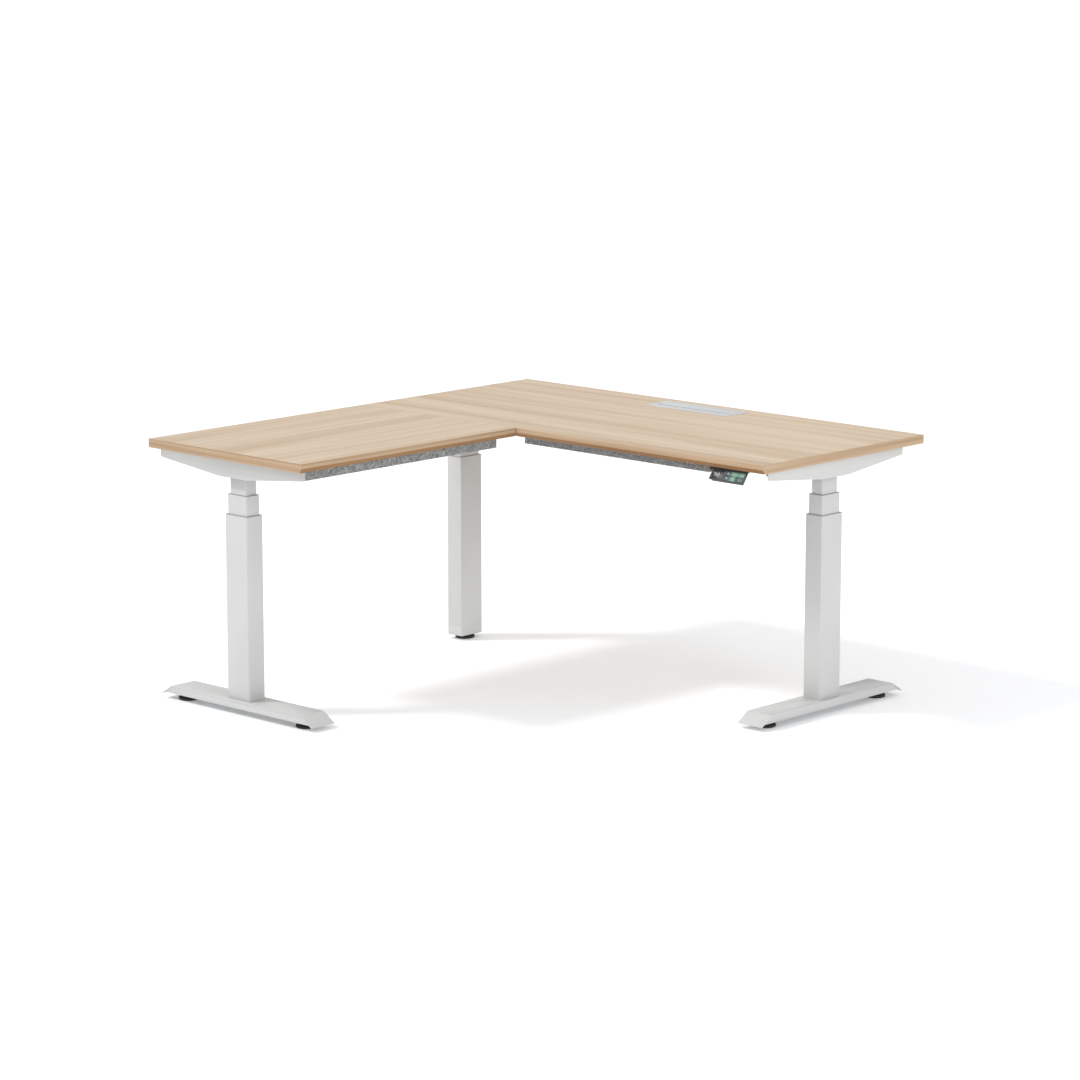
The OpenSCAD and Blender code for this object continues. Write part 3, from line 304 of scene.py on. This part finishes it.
def moulded(name, light, dark, rough, grain_mm=0.9, depth=0.25):
    """Moulded plastic or rubber: an even eroded grain and a faint flow variation."""
    material, tree, shader, place = surface(name)
    grain = add(tree, "ShaderNodeTexVoronoi", {"Vector": place.outputs["Object"],
                "Scale": 1000 / grain_mm})
    flow = add(tree, "ShaderNodeTexNoise", {"Vector": place.outputs["Object"], "Scale": 25.0})
    tree.links.new(ramp(tree, flow.outputs["Fac"], [(0.3, dark), (0.7, light)]),
                   shader.inputs["Base Color"])
    gloss = add(tree, "ShaderNodeMapRange", {"Value": flow.outputs["Fac"], "To Min": rough - 0.05,
                "To Max": rough + 0.05})
    tree.links.new(gloss.outputs["Result"], shader.inputs["Roughness"])
    bump = add(tree, "ShaderNodeBump", {"Height": grain.outputs["Distance"], "Strength": depth,
               "Distance": 0.0002})
    tree.links.new(bump.outputs["Normal"], shader.inputs["Normal"])
    return material


felt = pressed_felt("mottled_grey_pressed_felt")
black_rubber = moulded("black_rubber_pad", "#20201E", "#171716", 0.62)
black_abs = moulded("black_textured_abs", "#383833", "#2C2C29", 0.5)
grey_nylon = moulded("grey_nylon_glide", "#8E8E8C", "#828280", 0.5)
slate_keys = moulded("dark_slate_silicone_keys", "#3A4C54", "#324249", 0.48, grain_mm=0.6, depth=0.1)
green_keys = moulded("muted_green_silicone_keys", "#67907B", "#5B836D", 0.48, grain_mm=0.6, depth=0.1)
bristle = moulded("black_nylon_bristles", "#1F1F1E", "#161615", 0.7)
print("felt and plastics made")

# %% [markdown]
# ## Display window and legends
# The display sits behind a smoked acrylic window with an anti-glare etch, so it is dark but
# mirrors nothing sharply. Its digits are lit segments and the key legends are printed in
# white ink: the first glow faintly and the second are just matt.

# %% Window, ink and lit segments
def smoked_acrylic(name):
    material, tree, shader, place = surface(name)
    haze = add(tree, "ShaderNodeTexNoise", {"Vector": place.outputs["Object"], "Scale": 60.0})
    tree.links.new(ramp(tree, haze.outputs["Fac"], [(0.3, "#1B1B19"), (0.7, "#242422")]),
                   shader.inputs["Base Color"])
    gloss = add(tree, "ShaderNodeMapRange", {"Value": haze.outputs["Fac"], "To Min": 0.34,
                "To Max": 0.42})
    tree.links.new(gloss.outputs["Result"], shader.inputs["Roughness"])
    frost = add(tree, "ShaderNodeTexNoise", {"Vector": place.outputs["Object"], "Scale": 2500.0})
    bump = add(tree, "ShaderNodeBump", {"Height": frost.outputs["Fac"], "Strength": 0.1,
               "Distance": 0.0001})
    tree.links.new(bump.outputs["Normal"], shader.inputs["Normal"])
    shader.inputs["Specular IOR Level"].default_value = 0.3
    return material


def white_ink(name, glow=0.0):
    material, tree, shader, place = surface(name)
    speck = add(tree, "ShaderNodeTexNoise", {"Vector": place.outputs["Object"], "Scale": 900.0})
    tone = ramp(tree, speck.outputs["Fac"], [(0.3, "#BFC4C0"), (0.7, "#CDD1CE")])
    tree.links.new(tone, shader.inputs["Base Color"])
    tree.links.new(tone, shader.inputs["Emission Color"])
    shader.inputs["Emission Strength"].default_value = glow
    shader.inputs["Roughness"].default_value = 0.6
    bump = add(tree, "ShaderNodeBump", {"Height": speck.outputs["Fac"], "Strength": 0.15,
               "Distance": 0.0001})
    tree.links.new(bump.outputs["Normal"], shader.inputs["Normal"])
    return material


window = smoked_acrylic("smoked_acrylic_window")
ink = white_ink("white_printed_ink")
segments_lit = white_ink("white_lit_segments", glow=0.12)

# %% [markdown]
# ## Finishing the parts that keep their shape
# Most inner parts are already right, and only need their finish. A table from the node's name
# to its material does it, and the names are the model's own.

# %% Give every CAD node its finish
FINISH = {
    white_powder: ["foot_cover", "base_cap", "outer_tube", "mid_tube", "inner_tube", "_arm"],
    grey_primer: ["foot_beams", "rails", "seam_plates", "drive_motors"],
    zinc: ["base_plates", "bolts", "push_tubes", "hollow_screw", "drive_screw", "head_plates",
           "wood_screws", "port_pin"],
    grey_nylon: ["glide"],
    black_abs: ["control_box", "power_inlet", "handset_body"],
    black_rubber: ["leveller"],
    oak_main: ["main_desktop"],
    oak_return: ["return_desktop"],
    edge_main: ["edge_bands"],
    felt: ["cable_tray"],
    window: ["display"],
    slate_keys: ["button_up", "button_down", "button_memory"],
    green_keys: ["button_1", "button_2", "button_3"],
    port_white: ["port_frame", "port_lid"],
    bristle: ["port_brush"],
}
for material, words in FINISH.items():
    for node, part in frame["nodes"].items():
        if any(word in node for word in words):
            part.data.materials.clear()
            part.data.materials.append(material)
unfinished = [n for n, o in frame["nodes"].items() if o.data.materials[0] not in list(FINISH)]
print("unfinished nodes:", unfinished)
body_of = {n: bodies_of(o)[0] for n, o in frame["nodes"].items()}

# %% [markdown]
# ## Folded and machined edges
# Nothing made of sheet, tube or plastic has a perfectly sharp edge, and it is the thin bright
# line along an edge that tells the eye how thick and how hard a part is. The parts below keep
# their CAD shape: a copy is merged into one skin, its flat faces are rejoined, and a Bevel
# modifier rounds every edge by its real radius.

# %% Round the edges of a copy
MERGE, FLAT_WITHIN = 2e-6, math.radians(0.6)


def softened(node, radius_mm, segments=2, angle=30.0):
    """A copy of a CAD node with its edges rounded; it rides and stands for the same node."""
    part = frame["nodes"][node]
    mesh = part.data.copy()
    mesh.name = node + "_soft"
    bm = bmesh.new()
    bm.from_mesh(mesh)
    bmesh.ops.remove_doubles(bm, verts=bm.verts, dist=MERGE)
    bmesh.ops.dissolve_limit(bm, angle_limit=FLAT_WITHIN, verts=bm.verts, edges=bm.edges)
    bm.to_mesh(mesh)
    bm.free()
    mesh.shade_smooth()
    piece = bpy.data.objects.new(node + "_soft", mesh)
    bpy.context.scene.collection.objects.link(piece)
    bevel = piece.modifiers.new("edge_radius", "BEVEL")
    bevel.width, bevel.segments = radius_mm * MM, segments
    bevel.limit_method, bevel.angle_limit = "ANGLE", math.radians(angle)
    bevel.use_clamp_overlap = False
    bevel.harden_normals = True
    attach(piece, body_of[node])
    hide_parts(node)
    return piece


# %% Round tubes, sheet, mouldings and felt
SHEET_EDGE, TUBE_EDGE, MOULD_EDGE, FELT_EDGE, BAND_EDGE = 0.5, 0.35, 0.8, 1.2, 0.4
KEY_EDGE, HOUSING_EDGE, WINDOW_EDGE = 0.3, 0.4, 0.2
TUBES = [f"{leg}_{stage}_tube" for leg in ("left", "right", "corner")
         for stage in ("outer", "mid", "inner")]
SHEETS = ["left_foot_cover", "right_foot_cover", "corner_base_cap", "left_arm", "right_arm",
          "corner_arm", "cable_port_lid", "cable_port_frame", "main_rails", "return_rails",
          "seam_plates", "foot_beams"]
MOULDINGS = ["control_box", "power_inlet"]
KEYS = [f"button_{key}" for key in ("up", "down", "1", "2", "3", "memory")]
for nodes, radius in ((TUBES, TUBE_EDGE), (SHEETS, SHEET_EDGE), (MOULDINGS, MOULD_EDGE),
                      (KEYS, KEY_EDGE), (["handset_body"], HOUSING_EDGE),
                      (["handset_display"], WINDOW_EDGE),
                      (["main_cable_tray", "return_cable_tray"], FELT_EDGE)):
    for node in nodes:
        softened(node, radius)
print("edges rounded")

# %% [markdown]
# ## Edge bands
# A laminated board shows what it is at its edge: the band is a separate strip of printed
# plastic, glued on and trimmed, a little darker than the face, with its grain along the edge
# and a tiny radius where the trimmer ran. On the user's sides the lower half is milled back
# at a slant, and that slant is coloured much darker: painted shade, the shade that falls on a
# face looking down, which makes the board look thin. The strips' own
# faces tell which is which: a face that looks along Y belongs to a strip that runs along X,
# and a face that looks down and outwards is a bevel, which gets the painted shade.

# %% Sort the band's faces by where they look
bands = softened("edge_bands", BAND_EDGE)
for material in (edge_return, shaded_bevel_main, shaded_bevel_return, oak_main, oak_return):
    bands.data.materials.append(material)
EDGE_X, EDGE_Y, SHADED_BEVEL_X, SHADED_BEVEL_Y, TOP_MAIN, TOP_RETURN = range(6)
LEVEL, SLANTED = 0.95, 0.3
count = len(bands.data.polygons)
normals = np.zeros(count * 3)
centres = np.zeros(count * 3)
bands.data.polygons.foreach_get("normal", normals)
bands.data.polygons.foreach_get("center", centres)
normals, centres = normals.reshape(-1, 3), centres.reshape(-1, 3)
looks_x = np.abs(normals[:, 0]) > np.abs(normals[:, 1])
# Faces that look down and outwards get the darker bevel tones: painted shade.
shaded_slant = (normals[:, 2] < -SLANTED) & (normals[:, 2] > -LEVEL)
index = np.where(shaded_slant, np.where(looks_x, SHADED_BEVEL_Y, SHADED_BEVEL_X), np.where(looks_x, EDGE_Y, EDGE_X))
level = np.abs(normals[:, 2]) > LEVEL
on_main = centres[:, 1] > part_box("main_desktop")[0].y - 1.5 * MM
index = np.where(level, np.where(on_main, TOP_MAIN, TOP_RETURN), index)
bands.data.polygons.foreach_set("material_index", index.astype(np.int32))
print("band faces per material:", np.bincount(index, minlength=6))

# %% [markdown]
# ## Surfaces from arrays
# The turned and repeated parts are computed. Each one is a grid of points whose columns run
# once round and whose rows run from one end to the other, so a screw, a bristle and a fibre
# are all the same kind of thing. One function joins any number of such grids into a piece: it
# closes both ends, turns the faces outwards by the sign of the enclosed volume, and merges
# the points that meet at a pole.

# %% A piece from closed grids
def skin(name, grids, material, body, nodes=(), smooth=True):
    """grids: arrays (copies, rows, columns, 3). Faces are quads between neighbouring rows and
    columns plus a cap on the first and last row; volume = sum of a . (b x c) / 6."""
    points, faces, first = [], [], 0
    for grid in grids:
        copies, rows, columns = grid.shape[:3]
        number = np.arange(rows * columns).reshape(rows, columns)
        right = np.roll(number, -1, axis=1)
        quads = np.stack([number[:-1], right[:-1], right[1:], number[1:]], -1).reshape(-1, 4)
        flat = grid[0].reshape(-1, 3) - grid[0].reshape(-1, 3).mean(0)
        corner = [flat[quads[:, k]] for k in range(4)]
        volume = (corner[0] * np.cross(corner[1], corner[2])).sum()
        volume += (corner[0] * np.cross(corner[2], corner[3])).sum()
        for ring, turn in ((number[0], -1), (number[-1], 1)):
            fan = flat[ring]
            volume += turn * (fan[0] * np.cross(fan[1:-1], fan[2:])).sum()
        step = 1 if volume > 0 else -1
        ends = np.stack([number[0][::-1], number[-1]])[:, ::step]
        offsets = first + rows * columns * np.arange(copies)[:, None, None]
        faces += (quads[None, :, ::step] + offsets).reshape(-1, 4).tolist()
        faces += (ends[None] + offsets).reshape(-1, columns).tolist()
        points.append(grid.reshape(-1, 3))
        first += copies * rows * columns
    mesh = bpy.data.meshes.new(name)
    mesh.from_pydata(np.concatenate(points).tolist(), [], faces)
    bm = bmesh.new()
    bm.from_mesh(mesh)
    bmesh.ops.remove_doubles(bm, verts=bm.verts, dist=1e-7)
    bmesh.ops.dissolve_degenerate(bm, dist=1e-8, edges=bm.edges)
    bm.to_mesh(mesh)
    bm.free()
    if smooth:
        mesh.shade_smooth()
        mesh.set_sharp_from_angle(angle=math.radians(35))
    mesh.materials.append(material)
    piece = bpy.data.objects.new(name, mesh)
    bpy.context.scene.collection.objects.link(piece)
    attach(piece, body)
    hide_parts(*nodes)
    print(name, "faces:", len(mesh.polygons))
    return piece


# %% [markdown]
# ## Levelling feet
# Each foot is a moulded pad with an M8 stud: a real thread has a pitch of 1.25 mm and a
# 60 degree groove, so its radius rises and falls with height, and the rise moves up by one
# pitch per turn. Two formulas cover it: the pad is a turned profile, and the stud is a tube
# whose radius depends on both the angle and the height.

# %% Pads with threaded studs
TURN = 48
angle = np.linspace(0, 2 * np.pi, TURN, endpoint=False)


def turned(centre, radii, heights, depth=0.0, pitch=1.0):
    """x = r cos t, y = r sin t, z = h, with r less by depth * wave((h / pitch) - t / 2 pi)."""
    r = np.repeat(np.asarray(radii)[:, None] * MM, TURN, axis=1)
    z = np.repeat(np.asarray(heights)[:, None] * MM, TURN, axis=1)
    phase = (z / (pitch * MM) - angle[None] / (2 * np.pi)) % 1.0
    r = np.where(r > 0, r - depth * MM * np.abs(2 * phase - 1) * (r > 0), r)
    return np.stack([centre[0] + r * np.cos(angle), centre[1] + r * np.sin(angle),
                     centre[2] + z], -1)[None]


def rounded_profile(corners, radius, steps=5):
    """Corners of a profile, each replaced by a small arc: a quadratic blend of its two sides."""
    corners = np.asarray(corners, float)
    out = [corners[:1]]
    for before, here, after in zip(corners, corners[1:], corners[2:]):
        a, b = before - here, after - here
        a *= min(radius / np.linalg.norm(a), 0.5)
        b *= min(radius / np.linalg.norm(b), 0.5)
        t = np.linspace(0, 1, steps)[:, None]
        out.append(here + a * (1 - t) ** 2 + b * t**2)
    return np.concatenate([*out, corners[-1:]])


STUD_D, THREAD_PITCH, THREAD_DEPTH = 8.0, 1.25, 0.6
PAD_HEIGHT, PAD_ROUNDING, ROWS_PER_TURN = 11.0, 1.6, 8
for node in [n for n in frame["nodes"] if "leveller" in n]:
    low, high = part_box(node)
    centre = ((low.x + high.x) / 2, (low.y + high.y) / 2, low.z)
    pad = (high.x - low.x) / 2 / MM
    ribs = [(0, 0), (pad - 2, 0), (pad, 2), (pad, PAD_HEIGHT * 0.6),
            (pad - 3, PAD_HEIGHT * 0.85), (STUD_D, PAD_HEIGHT), (STUD_D / 2 - 1, PAD_HEIGHT),
            (0, PAD_HEIGHT)]
    profile = rounded_profile(ribs, PAD_ROUNDING)
    top = (high.z - low.z) / MM
    levels = np.arange(PAD_HEIGHT - 0.5, top - 0.05, THREAD_PITCH / ROWS_PER_TURN)
    stud_r = np.full(len(levels), STUD_D / 2)
    stud = turned(centre, [0, *stud_r, 0], [levels[0], *levels, levels[-1]], THREAD_DEPTH,
                  THREAD_PITCH)
    skin(node + "_turned", [turned(centre, profile[:, 0], profile[:, 1])], black_rubber,
         body_of[node], [node])
    skin(node + "_stud", [stud], zinc, body_of[node], [node])

# %% [markdown]
# ## Screws and bolts
# The frame is fixed to the boards with pan-head wood screws and held together with hexagon
# bolts. Where they sit is already in the model, as loose solids of one node, so the node is
# split into its solids and each is swapped for a detailed one of the same length on the same
# axis. A screw's head is a dome with a cross pressed into it. A bolt's head is a hexagon cut
# by a cone, which gives it the curved chamfer lines of a real one.

# %% Find the loose solids of a node
def loose_solids(node):
    """Boxes (low, high) of the separate shells of a node, by walking its merged edges."""
    bm = bmesh.new()
    bm.from_mesh(frame["nodes"][node].data)
    bmesh.ops.remove_doubles(bm, verts=bm.verts, dist=MERGE)
    seen, boxes = set(), []
    for start in bm.verts:
        if start in seen:
            continue
        seen.add(start)
        stack, shell = [start], []
        while stack:
            here = stack.pop()
            shell.append(here.co[:])
            for other in (e.other_vert(here) for e in here.link_edges):
                if other not in seen:
                    seen.add(other)
                    stack.append(other)
        boxes.append((np.min(shell, 0), np.max(shell, 0)))
    bm.free()
    return boxes


CROSS_HALF, CROSS_REACH, CROSS_DEPTH = 0.11, 0.5, 1.1


def wood_screw(low, high, side=28):
    """Rows go out over the domed head, back under it and up the shank, and the cross is sunk
    where |x| or |y| is under half its width: z = depth(r) + CROSS_DEPTH inside the cross."""
    t = np.linspace(0, 2 * np.pi, side, endpoint=False)
    centre, head = (low + high) / 2, (high[0] - low[0]) / 2
    r = np.array([0, 0.1, 0.2, 0.3, 0.38, 0.46, 0.52, 0.62, 0.8, 0.95, 1, 1, 0.45, 0.42, 0.42, 0])
    deep = [0, 0, 0, 0, 0, 0, 0, 0, 0.35, 0.85, 1.3, 2.3, 2.4, 2.4, 0, 0]
    r, t = np.meshgrid(r, t, indexing="ij")
    x, y = r * np.cos(t), r * np.sin(t)
    cross = (np.minimum(np.abs(x), np.abs(y)) < CROSS_HALF) & (r < CROSS_REACH)
    z = low[2] + np.repeat(np.array(deep)[:, None], side, 1) * MM + cross * CROSS_DEPTH * MM
    z[-2:] = high[2]
    return np.stack([centre[0] + x * head, centre[1] + y * head, z], -1)


BOLT_HEAD, SHANK_SHARE = 4.0, 0.54


def hexagon_bolt(low, high, side=36):
    """Radius is the smaller of a hexagon, R cos 30 / cos(t mod 60 - 30), and a cone at each
    end; rows step along the bolt's own axis, the longest side of its box."""
    size = high - low
    axis = int(np.argmax(size))
    across = np.delete(size, axis).max() / 2
    half, head = size[axis] / 2, BOLT_HEAD * MM
    t = np.linspace(0, 2 * np.pi, side, endpoint=False)
    flat = across * math.cos(math.pi / 6) / np.cos(t % (math.pi / 3) - math.pi / 6)
    rows = [(-half, 0), (-half, 0.80), (-half + 0.7 * MM, 0.92), (-half + 1.2 * MM, 1.01),
            (-half + head, 1.01), (-half + head, SHANK_SHARE), (half - head, SHANK_SHARE),
            (half - head, 1.01), (half - 1.2 * MM, 1.01), (half - 0.7 * MM, 0.92),
            (half, 0.80), (half, 0)]
    along = np.array([row[0] for row in rows])[:, None] + 0 * t
    r = np.minimum(flat[None], across * np.array([row[1] for row in rows])[:, None])
    centre = (low + high) / 2
    out = np.empty((len(rows), side, 3))
    u, v = [k for k in range(3) if k != axis]
    out[..., axis], out[..., u], out[..., v] = along, r * np.cos(t), r * np.sin(t)
    return out + centre


screws = np.stack([wood_screw(*pair) for pair in loose_solids("wood_screws")])
skin("pan_head_screws", [screws], zinc, body_of["wood_screws"], ["wood_screws"])
for node in ("frame_bolts", "foot_bolts"):
    bolts = np.stack([hexagon_bolt(*pair) for pair in loose_solids(node)])
    skin(node + "_hexagon", [bolts], zinc, body_of[node], [node])

# %% [markdown]
# ## Bristles
# The slot of the cable port is closed by a brush, so that cables can come through at any
# point. It is thousands of nylon bristles side by side. Each one here is a three-sided needle
# with its own small lean, and a fixed seed gives the same brush on every run.

# %% Brush in the slot
BRISTLES, BRISTLE_R, BRISTLE_LEAN = 3200, 0.3, 0.8
rng = np.random.default_rng(7)


def needles(root, tip, radius):
    """Three-sided prisms from root to tip: points root or tip + r (a cos t + b sin t), where a
    and b are square to the needle."""
    along = tip - root
    along /= np.linalg.norm(along, axis=1, keepdims=True)
    a = np.cross(along, np.where(np.abs(along[:, 2:]) > 0.9, [[1.0, 0, 0]], [[0, 0, 1.0]]))
    a /= np.linalg.norm(a, axis=1, keepdims=True)
    b = np.cross(along, a)
    t = 2 * np.pi * np.arange(3) / 3
    ring = radius * (a[:, None] * np.cos(t)[:, None] + b[:, None] * np.sin(t)[:, None])
    return np.stack([root[:, None] + ring, tip[:, None] + ring], 1)


low, high = (np.array(corner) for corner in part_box("cable_port_brush"))
root = rng.uniform(low, high, (BRISTLES, 3))
root[:, 2] = low[2]
lean = rng.normal(0, BRISTLE_LEAN * MM, (BRISTLES, 3))
tip = np.clip(root + lean, low, high)
tip[:, 2] = high[2] - rng.uniform(0, 0.6 * MM, BRISTLES)
skin("nylon_bristles", [needles(root, tip, BRISTLE_R * MM)], bristle, body_of["cable_port_brush"],
     ["cable_port_brush"], smooth=False)

# %% [markdown]
# ## Fibres on the felt
# Felt is a tangle of cut fibres, and from close by its face is made of short light and dark
# hairs that lie flat. A few thousand of them are laid on the wall of each tray that faces
# the user: a fibre is a needle between two points of the face, at a random place and angle.
# The tray's floor gives the wall's place, as its flange stands out in front of it.

# %% Fibres
FIBRES, FIBRE_R = 2600, 0.09


def points_of(node):
    """A node's points as an array."""
    mesh = frame["nodes"][node].data
    points = np.zeros(len(mesh.vertices) * 3)
    mesh.vertices.foreach_get("co", points)
    return points.reshape(-1, 3)


def laid_fibres(low, high, normal_axis, sign, count):
    """Needles whose ends lie on one face of a box, 4 to 11 mm apart and up to 0.2 mm proud."""
    u, v = [k for k in range(3) if k != normal_axis]
    middle = rng.uniform(low, high, (count, 3))
    turn = rng.uniform(0, np.pi, count)
    half = rng.uniform(2, 5.5, count) * MM
    step = np.zeros((count, 3))
    step[:, u], step[:, v] = half * np.cos(turn), half * np.sin(turn)
    face = (high if sign > 0 else low)[normal_axis]
    ends = []
    for end in (middle - step, middle + step):
        end = np.clip(end, low, high)
        end[:, normal_axis] = face + sign * rng.uniform(-0.05, 0.2, count) * MM
        ends.append(end)
    apart = np.linalg.norm(ends[1] - ends[0], axis=1) > 1.0 * MM
    return needles(ends[0][apart], ends[1][apart], FIBRE_R * MM)


fibre_light = moulded("light_grey_polyester_fibre", "#C9C9C7", "#B2B2B0", 0.9, depth=0.1)
fibre_dark = moulded("dark_grey_polyester_fibre", "#4E4E4D", "#3B3B3A", 0.9, depth=0.1)
for tray, axis, sign in (("main_cable_tray", 1, -1), ("return_cable_tray", 0, 1)):
    points = points_of(tray)
    floor_points = points[points[:, 2] < points[:, 2].min() + 1.0 * MM]
    low, high = floor_points.min(0), floor_points.max(0)
    high[2] = points[:, 2].max() - 2 * FELT_EDGE * MM
    for tone, material in (("light", fibre_light), ("dark", fibre_dark)):
        skin(f"{tray}_{tone}_fibres", [laid_fibres(low, high, axis, sign, FIBRES)], material,
             body_of[tray], [], smooth=False)

# %% [markdown]
# ## Legends and digits
# The handset's legends are printed and its digits are lit segments. Both are drawn as strokes
# on the face they belong to: the sloping face's own axes come from the direction in which a
# button is pressed, and a stroke is a thin bar between two points, a twentieth of a
# millimetre proud of it. Each legend rides on its own button, so it goes in when that is pressed.

# %% The sloping face
SUNK, PROUD = 0.2, 0.05
STROKE, GLYPH, ARROW = 0.7, (3.0, 4.6), 5.0
DIGIT_STROKE, DIGIT = 1.3, (4.2, 9.0)
press = next(j for j in frame["record"]["behaviour"]["joints"] if j["name"] == "press_up")
out = -np.array(press["axis"], float)
right = np.array([1.0, 0, 0])
up = np.cross(out, right)


def outer_face(node):
    """Middle of a node's outermost face."""
    points = points_of(node)
    across, along, depth = points @ right, points @ up, points @ out
    middle = right * (across.max() + across.min()) / 2 + up * (along.max() + along.min()) / 2
    return middle + out * depth.max()


def bars(face, lines, width, size, shift=(0, 0)):
    """Each pair of points (0..1 in a glyph's box) as a flat bar with square ends."""
    size, shift = np.array(size) * MM, np.array(shift) * MM
    ends = (np.array(lines, float) - 0.5) * size + shift
    along = ends[:, 1] - ends[:, 0]
    along /= np.linalg.norm(along, axis=1, keepdims=True)
    side = np.stack([-along[:, 1], along[:, 0]], 1) * width / 2 * MM
    along *= width / 2 * MM
    flat = np.stack([ends[:, 0] - along - side, ends[:, 1] + along - side,
                     ends[:, 1] + along + side, ends[:, 0] - along + side], 1)
    on_face = face + flat[..., :1] * right + flat[..., 1:] * up
    return np.stack([on_face - out * SUNK * MM, on_face + out * PROUD * MM], 1)


def path(*points):
    """Neighbouring points of a polyline as pairs."""
    return list(zip(points, points[1:]))


ONE = path((0.25, 0.8), (0.55, 1), (0.55, 0))
TWO = path((0.1, 0.8), (0.3, 1), (0.7, 1), (0.9, 0.8), (0.9, 0.62), (0.1, 0), (0.95, 0))
THREE = path((0.1, 1), (0.9, 1), (0.45, 0.6), (0.75, 0.55), (0.9, 0.35), (0.8, 0.08), (0.5, 0),
             (0.1, 0.1))
EM = path((0.05, 0), (0.05, 1), (0.5, 0.35), (0.95, 1), (0.95, 0))
for node, glyph in (("button_1", ONE), ("button_2", TWO), ("button_3", THREE),
                    ("button_memory", EM)):
    skin(node + "_legend", [bars(outer_face(node), glyph, STROKE, GLYPH)], ink, body_of[node], [],
         smooth=False)
for node, sign in (("button_up", 1), ("button_down", -1)):
    corners = [[-0.5, -0.45 * sign], [0.5, -0.45 * sign], [0, 0.5 * sign]]
    tip = np.array(corners) * ARROW * MM
    flat = outer_face(node) + tip[:, :1] * right + tip[:, 1:] * up
    arrow = np.stack([flat - out * SUNK * MM, flat + out * PROUD * MM])[None]
    skin(node + "_legend", [arrow], ink, body_of[node], [], smooth=False)

# %% Lit digits
SEGMENTS = {"a": ((0, 1), (1, 1)), "b": ((1, 1), (1, 0.5)), "c": ((1, 0.5), (1, 0)),
            "d": ((0, 0), (1, 0)), "e": ((0, 0), (0, 0.5)), "f": ((0, 0.5), (0, 1)),
            "g": ((0, 0.5), (1, 0.5))}
face = outer_face("handset_display")
digits = [bars(face, [SEGMENTS[k] for k in shown], DIGIT_STROKE, DIGIT, (place, 0))
          for shown, place in (("abc", -12.0), ("bcfg", -5.0), ("abged", 3.5))]
point = bars(face, [((0.4, 0), (0.6, 0))], 1.2, (2, DIGIT[1]), (-0.8, 0))
skin("display_digits", [*digits, point], segments_lit, body_of["handset_display"], [],
     smooth=False)

# %% [markdown]
# ## Floor and light
# A catalogue studio has a white floor that is lit until it burns out, so only the shadow is
# left to see. Here the floor reaches the horizon, gives back most of the light and adds a
# little of its own, as a floor that is lit by its own strip lamps does. A large soft box far
# away on the left is a sun lamp with a wide disc, so that shadows fall backwards to the right
# and their edges widen with the height of what casts them. A second box on the right lifts
# the faces that look that way, and the white room fills in all the rest.

# %% Studio floor
ROOM_LIGHT, FLOOR_GLOW, FLOOR_SIZE = 0.88, 0.17, 200
SUN_STRENGTH, SUN_DISC = 1.5, 10
SIDE_POWER, SIDE_SIZE = 90, 3.0


def studio_floor():
    """A square of paper, seen from above only."""
    bpy.ops.mesh.primitive_plane_add(size=FLOOR_SIZE, location=(0, 0, 0))
    floor = bpy.context.object
    floor.name = "floor"
    material, tree, shader, place = surface("white_studio_paper")
    paint = add(tree, "ShaderNodeTexNoise", {"Vector": place.outputs["Object"], "Scale": 0.4})
    tree.links.new(ramp(tree, paint.outputs["Fac"], [(0.3, "#F1F1F1"), (0.7, "#F3F3F3")]),
                   shader.inputs["Base Color"])
    shader.inputs["Roughness"].default_value = 0.9
    shader.inputs["Specular IOR Level"].default_value = 0.1
    shader.inputs["Emission Color"].default_value = linear("#FFFFFF")
    shader.inputs["Emission Strength"].default_value = FLOOR_GLOW
    clear = add(tree, "ShaderNodeBsdfTransparent")
    side = add(tree, "ShaderNodeNewGeometry")
    mix = add(tree, "ShaderNodeMixShader", {0: side.outputs["Backfacing"],
              1: shader.outputs["BSDF"], 2: clear.outputs["BSDF"]})
    tree.links.new(mix.outputs["Shader"], tree.nodes["Material Output"].inputs["Surface"])
    floor.data.materials.append(material)


studio_floor()
print("floor laid")


# %% Soft lights and white room
def aimed_light(name, kind, place, target, strength):
    light = bpy.data.lights.new(name, kind)
    light.energy = strength
    lamp = bpy.data.objects.new(name, light)
    lamp.location = place
    lamp.rotation_euler = (Vector(target) - Vector(place)).to_track_quat("-Z", "Y").to_euler()
    bpy.context.scene.collection.objects.link(lamp)
    return light


far_box = aimed_light("large_far_soft_box", "SUN", (-4.5, -4.6, 7.3), (0, 0, 0),
                      SUN_STRENGTH)
far_box.angle = math.radians(SUN_DISC)
side_box = aimed_light("side_soft_box", "AREA", (6.5, -1.5, 2.6), (0.5, 0, 0.5),
                       SIDE_POWER)
side_box.shape, side_box.size = "DISK", SIDE_SIZE
world = bpy.data.worlds.new("white_room")
world.use_nodes = True
world.node_tree.nodes["Background"].inputs["Color"].default_value = linear("#FAFCFF")
world.node_tree.nodes["Background"].inputs["Strength"].default_value = ROOM_LIGHT
bpy.context.scene.world = world
bpy.context.scene.view_settings.view_transform = "Standard"
print("studio ready")
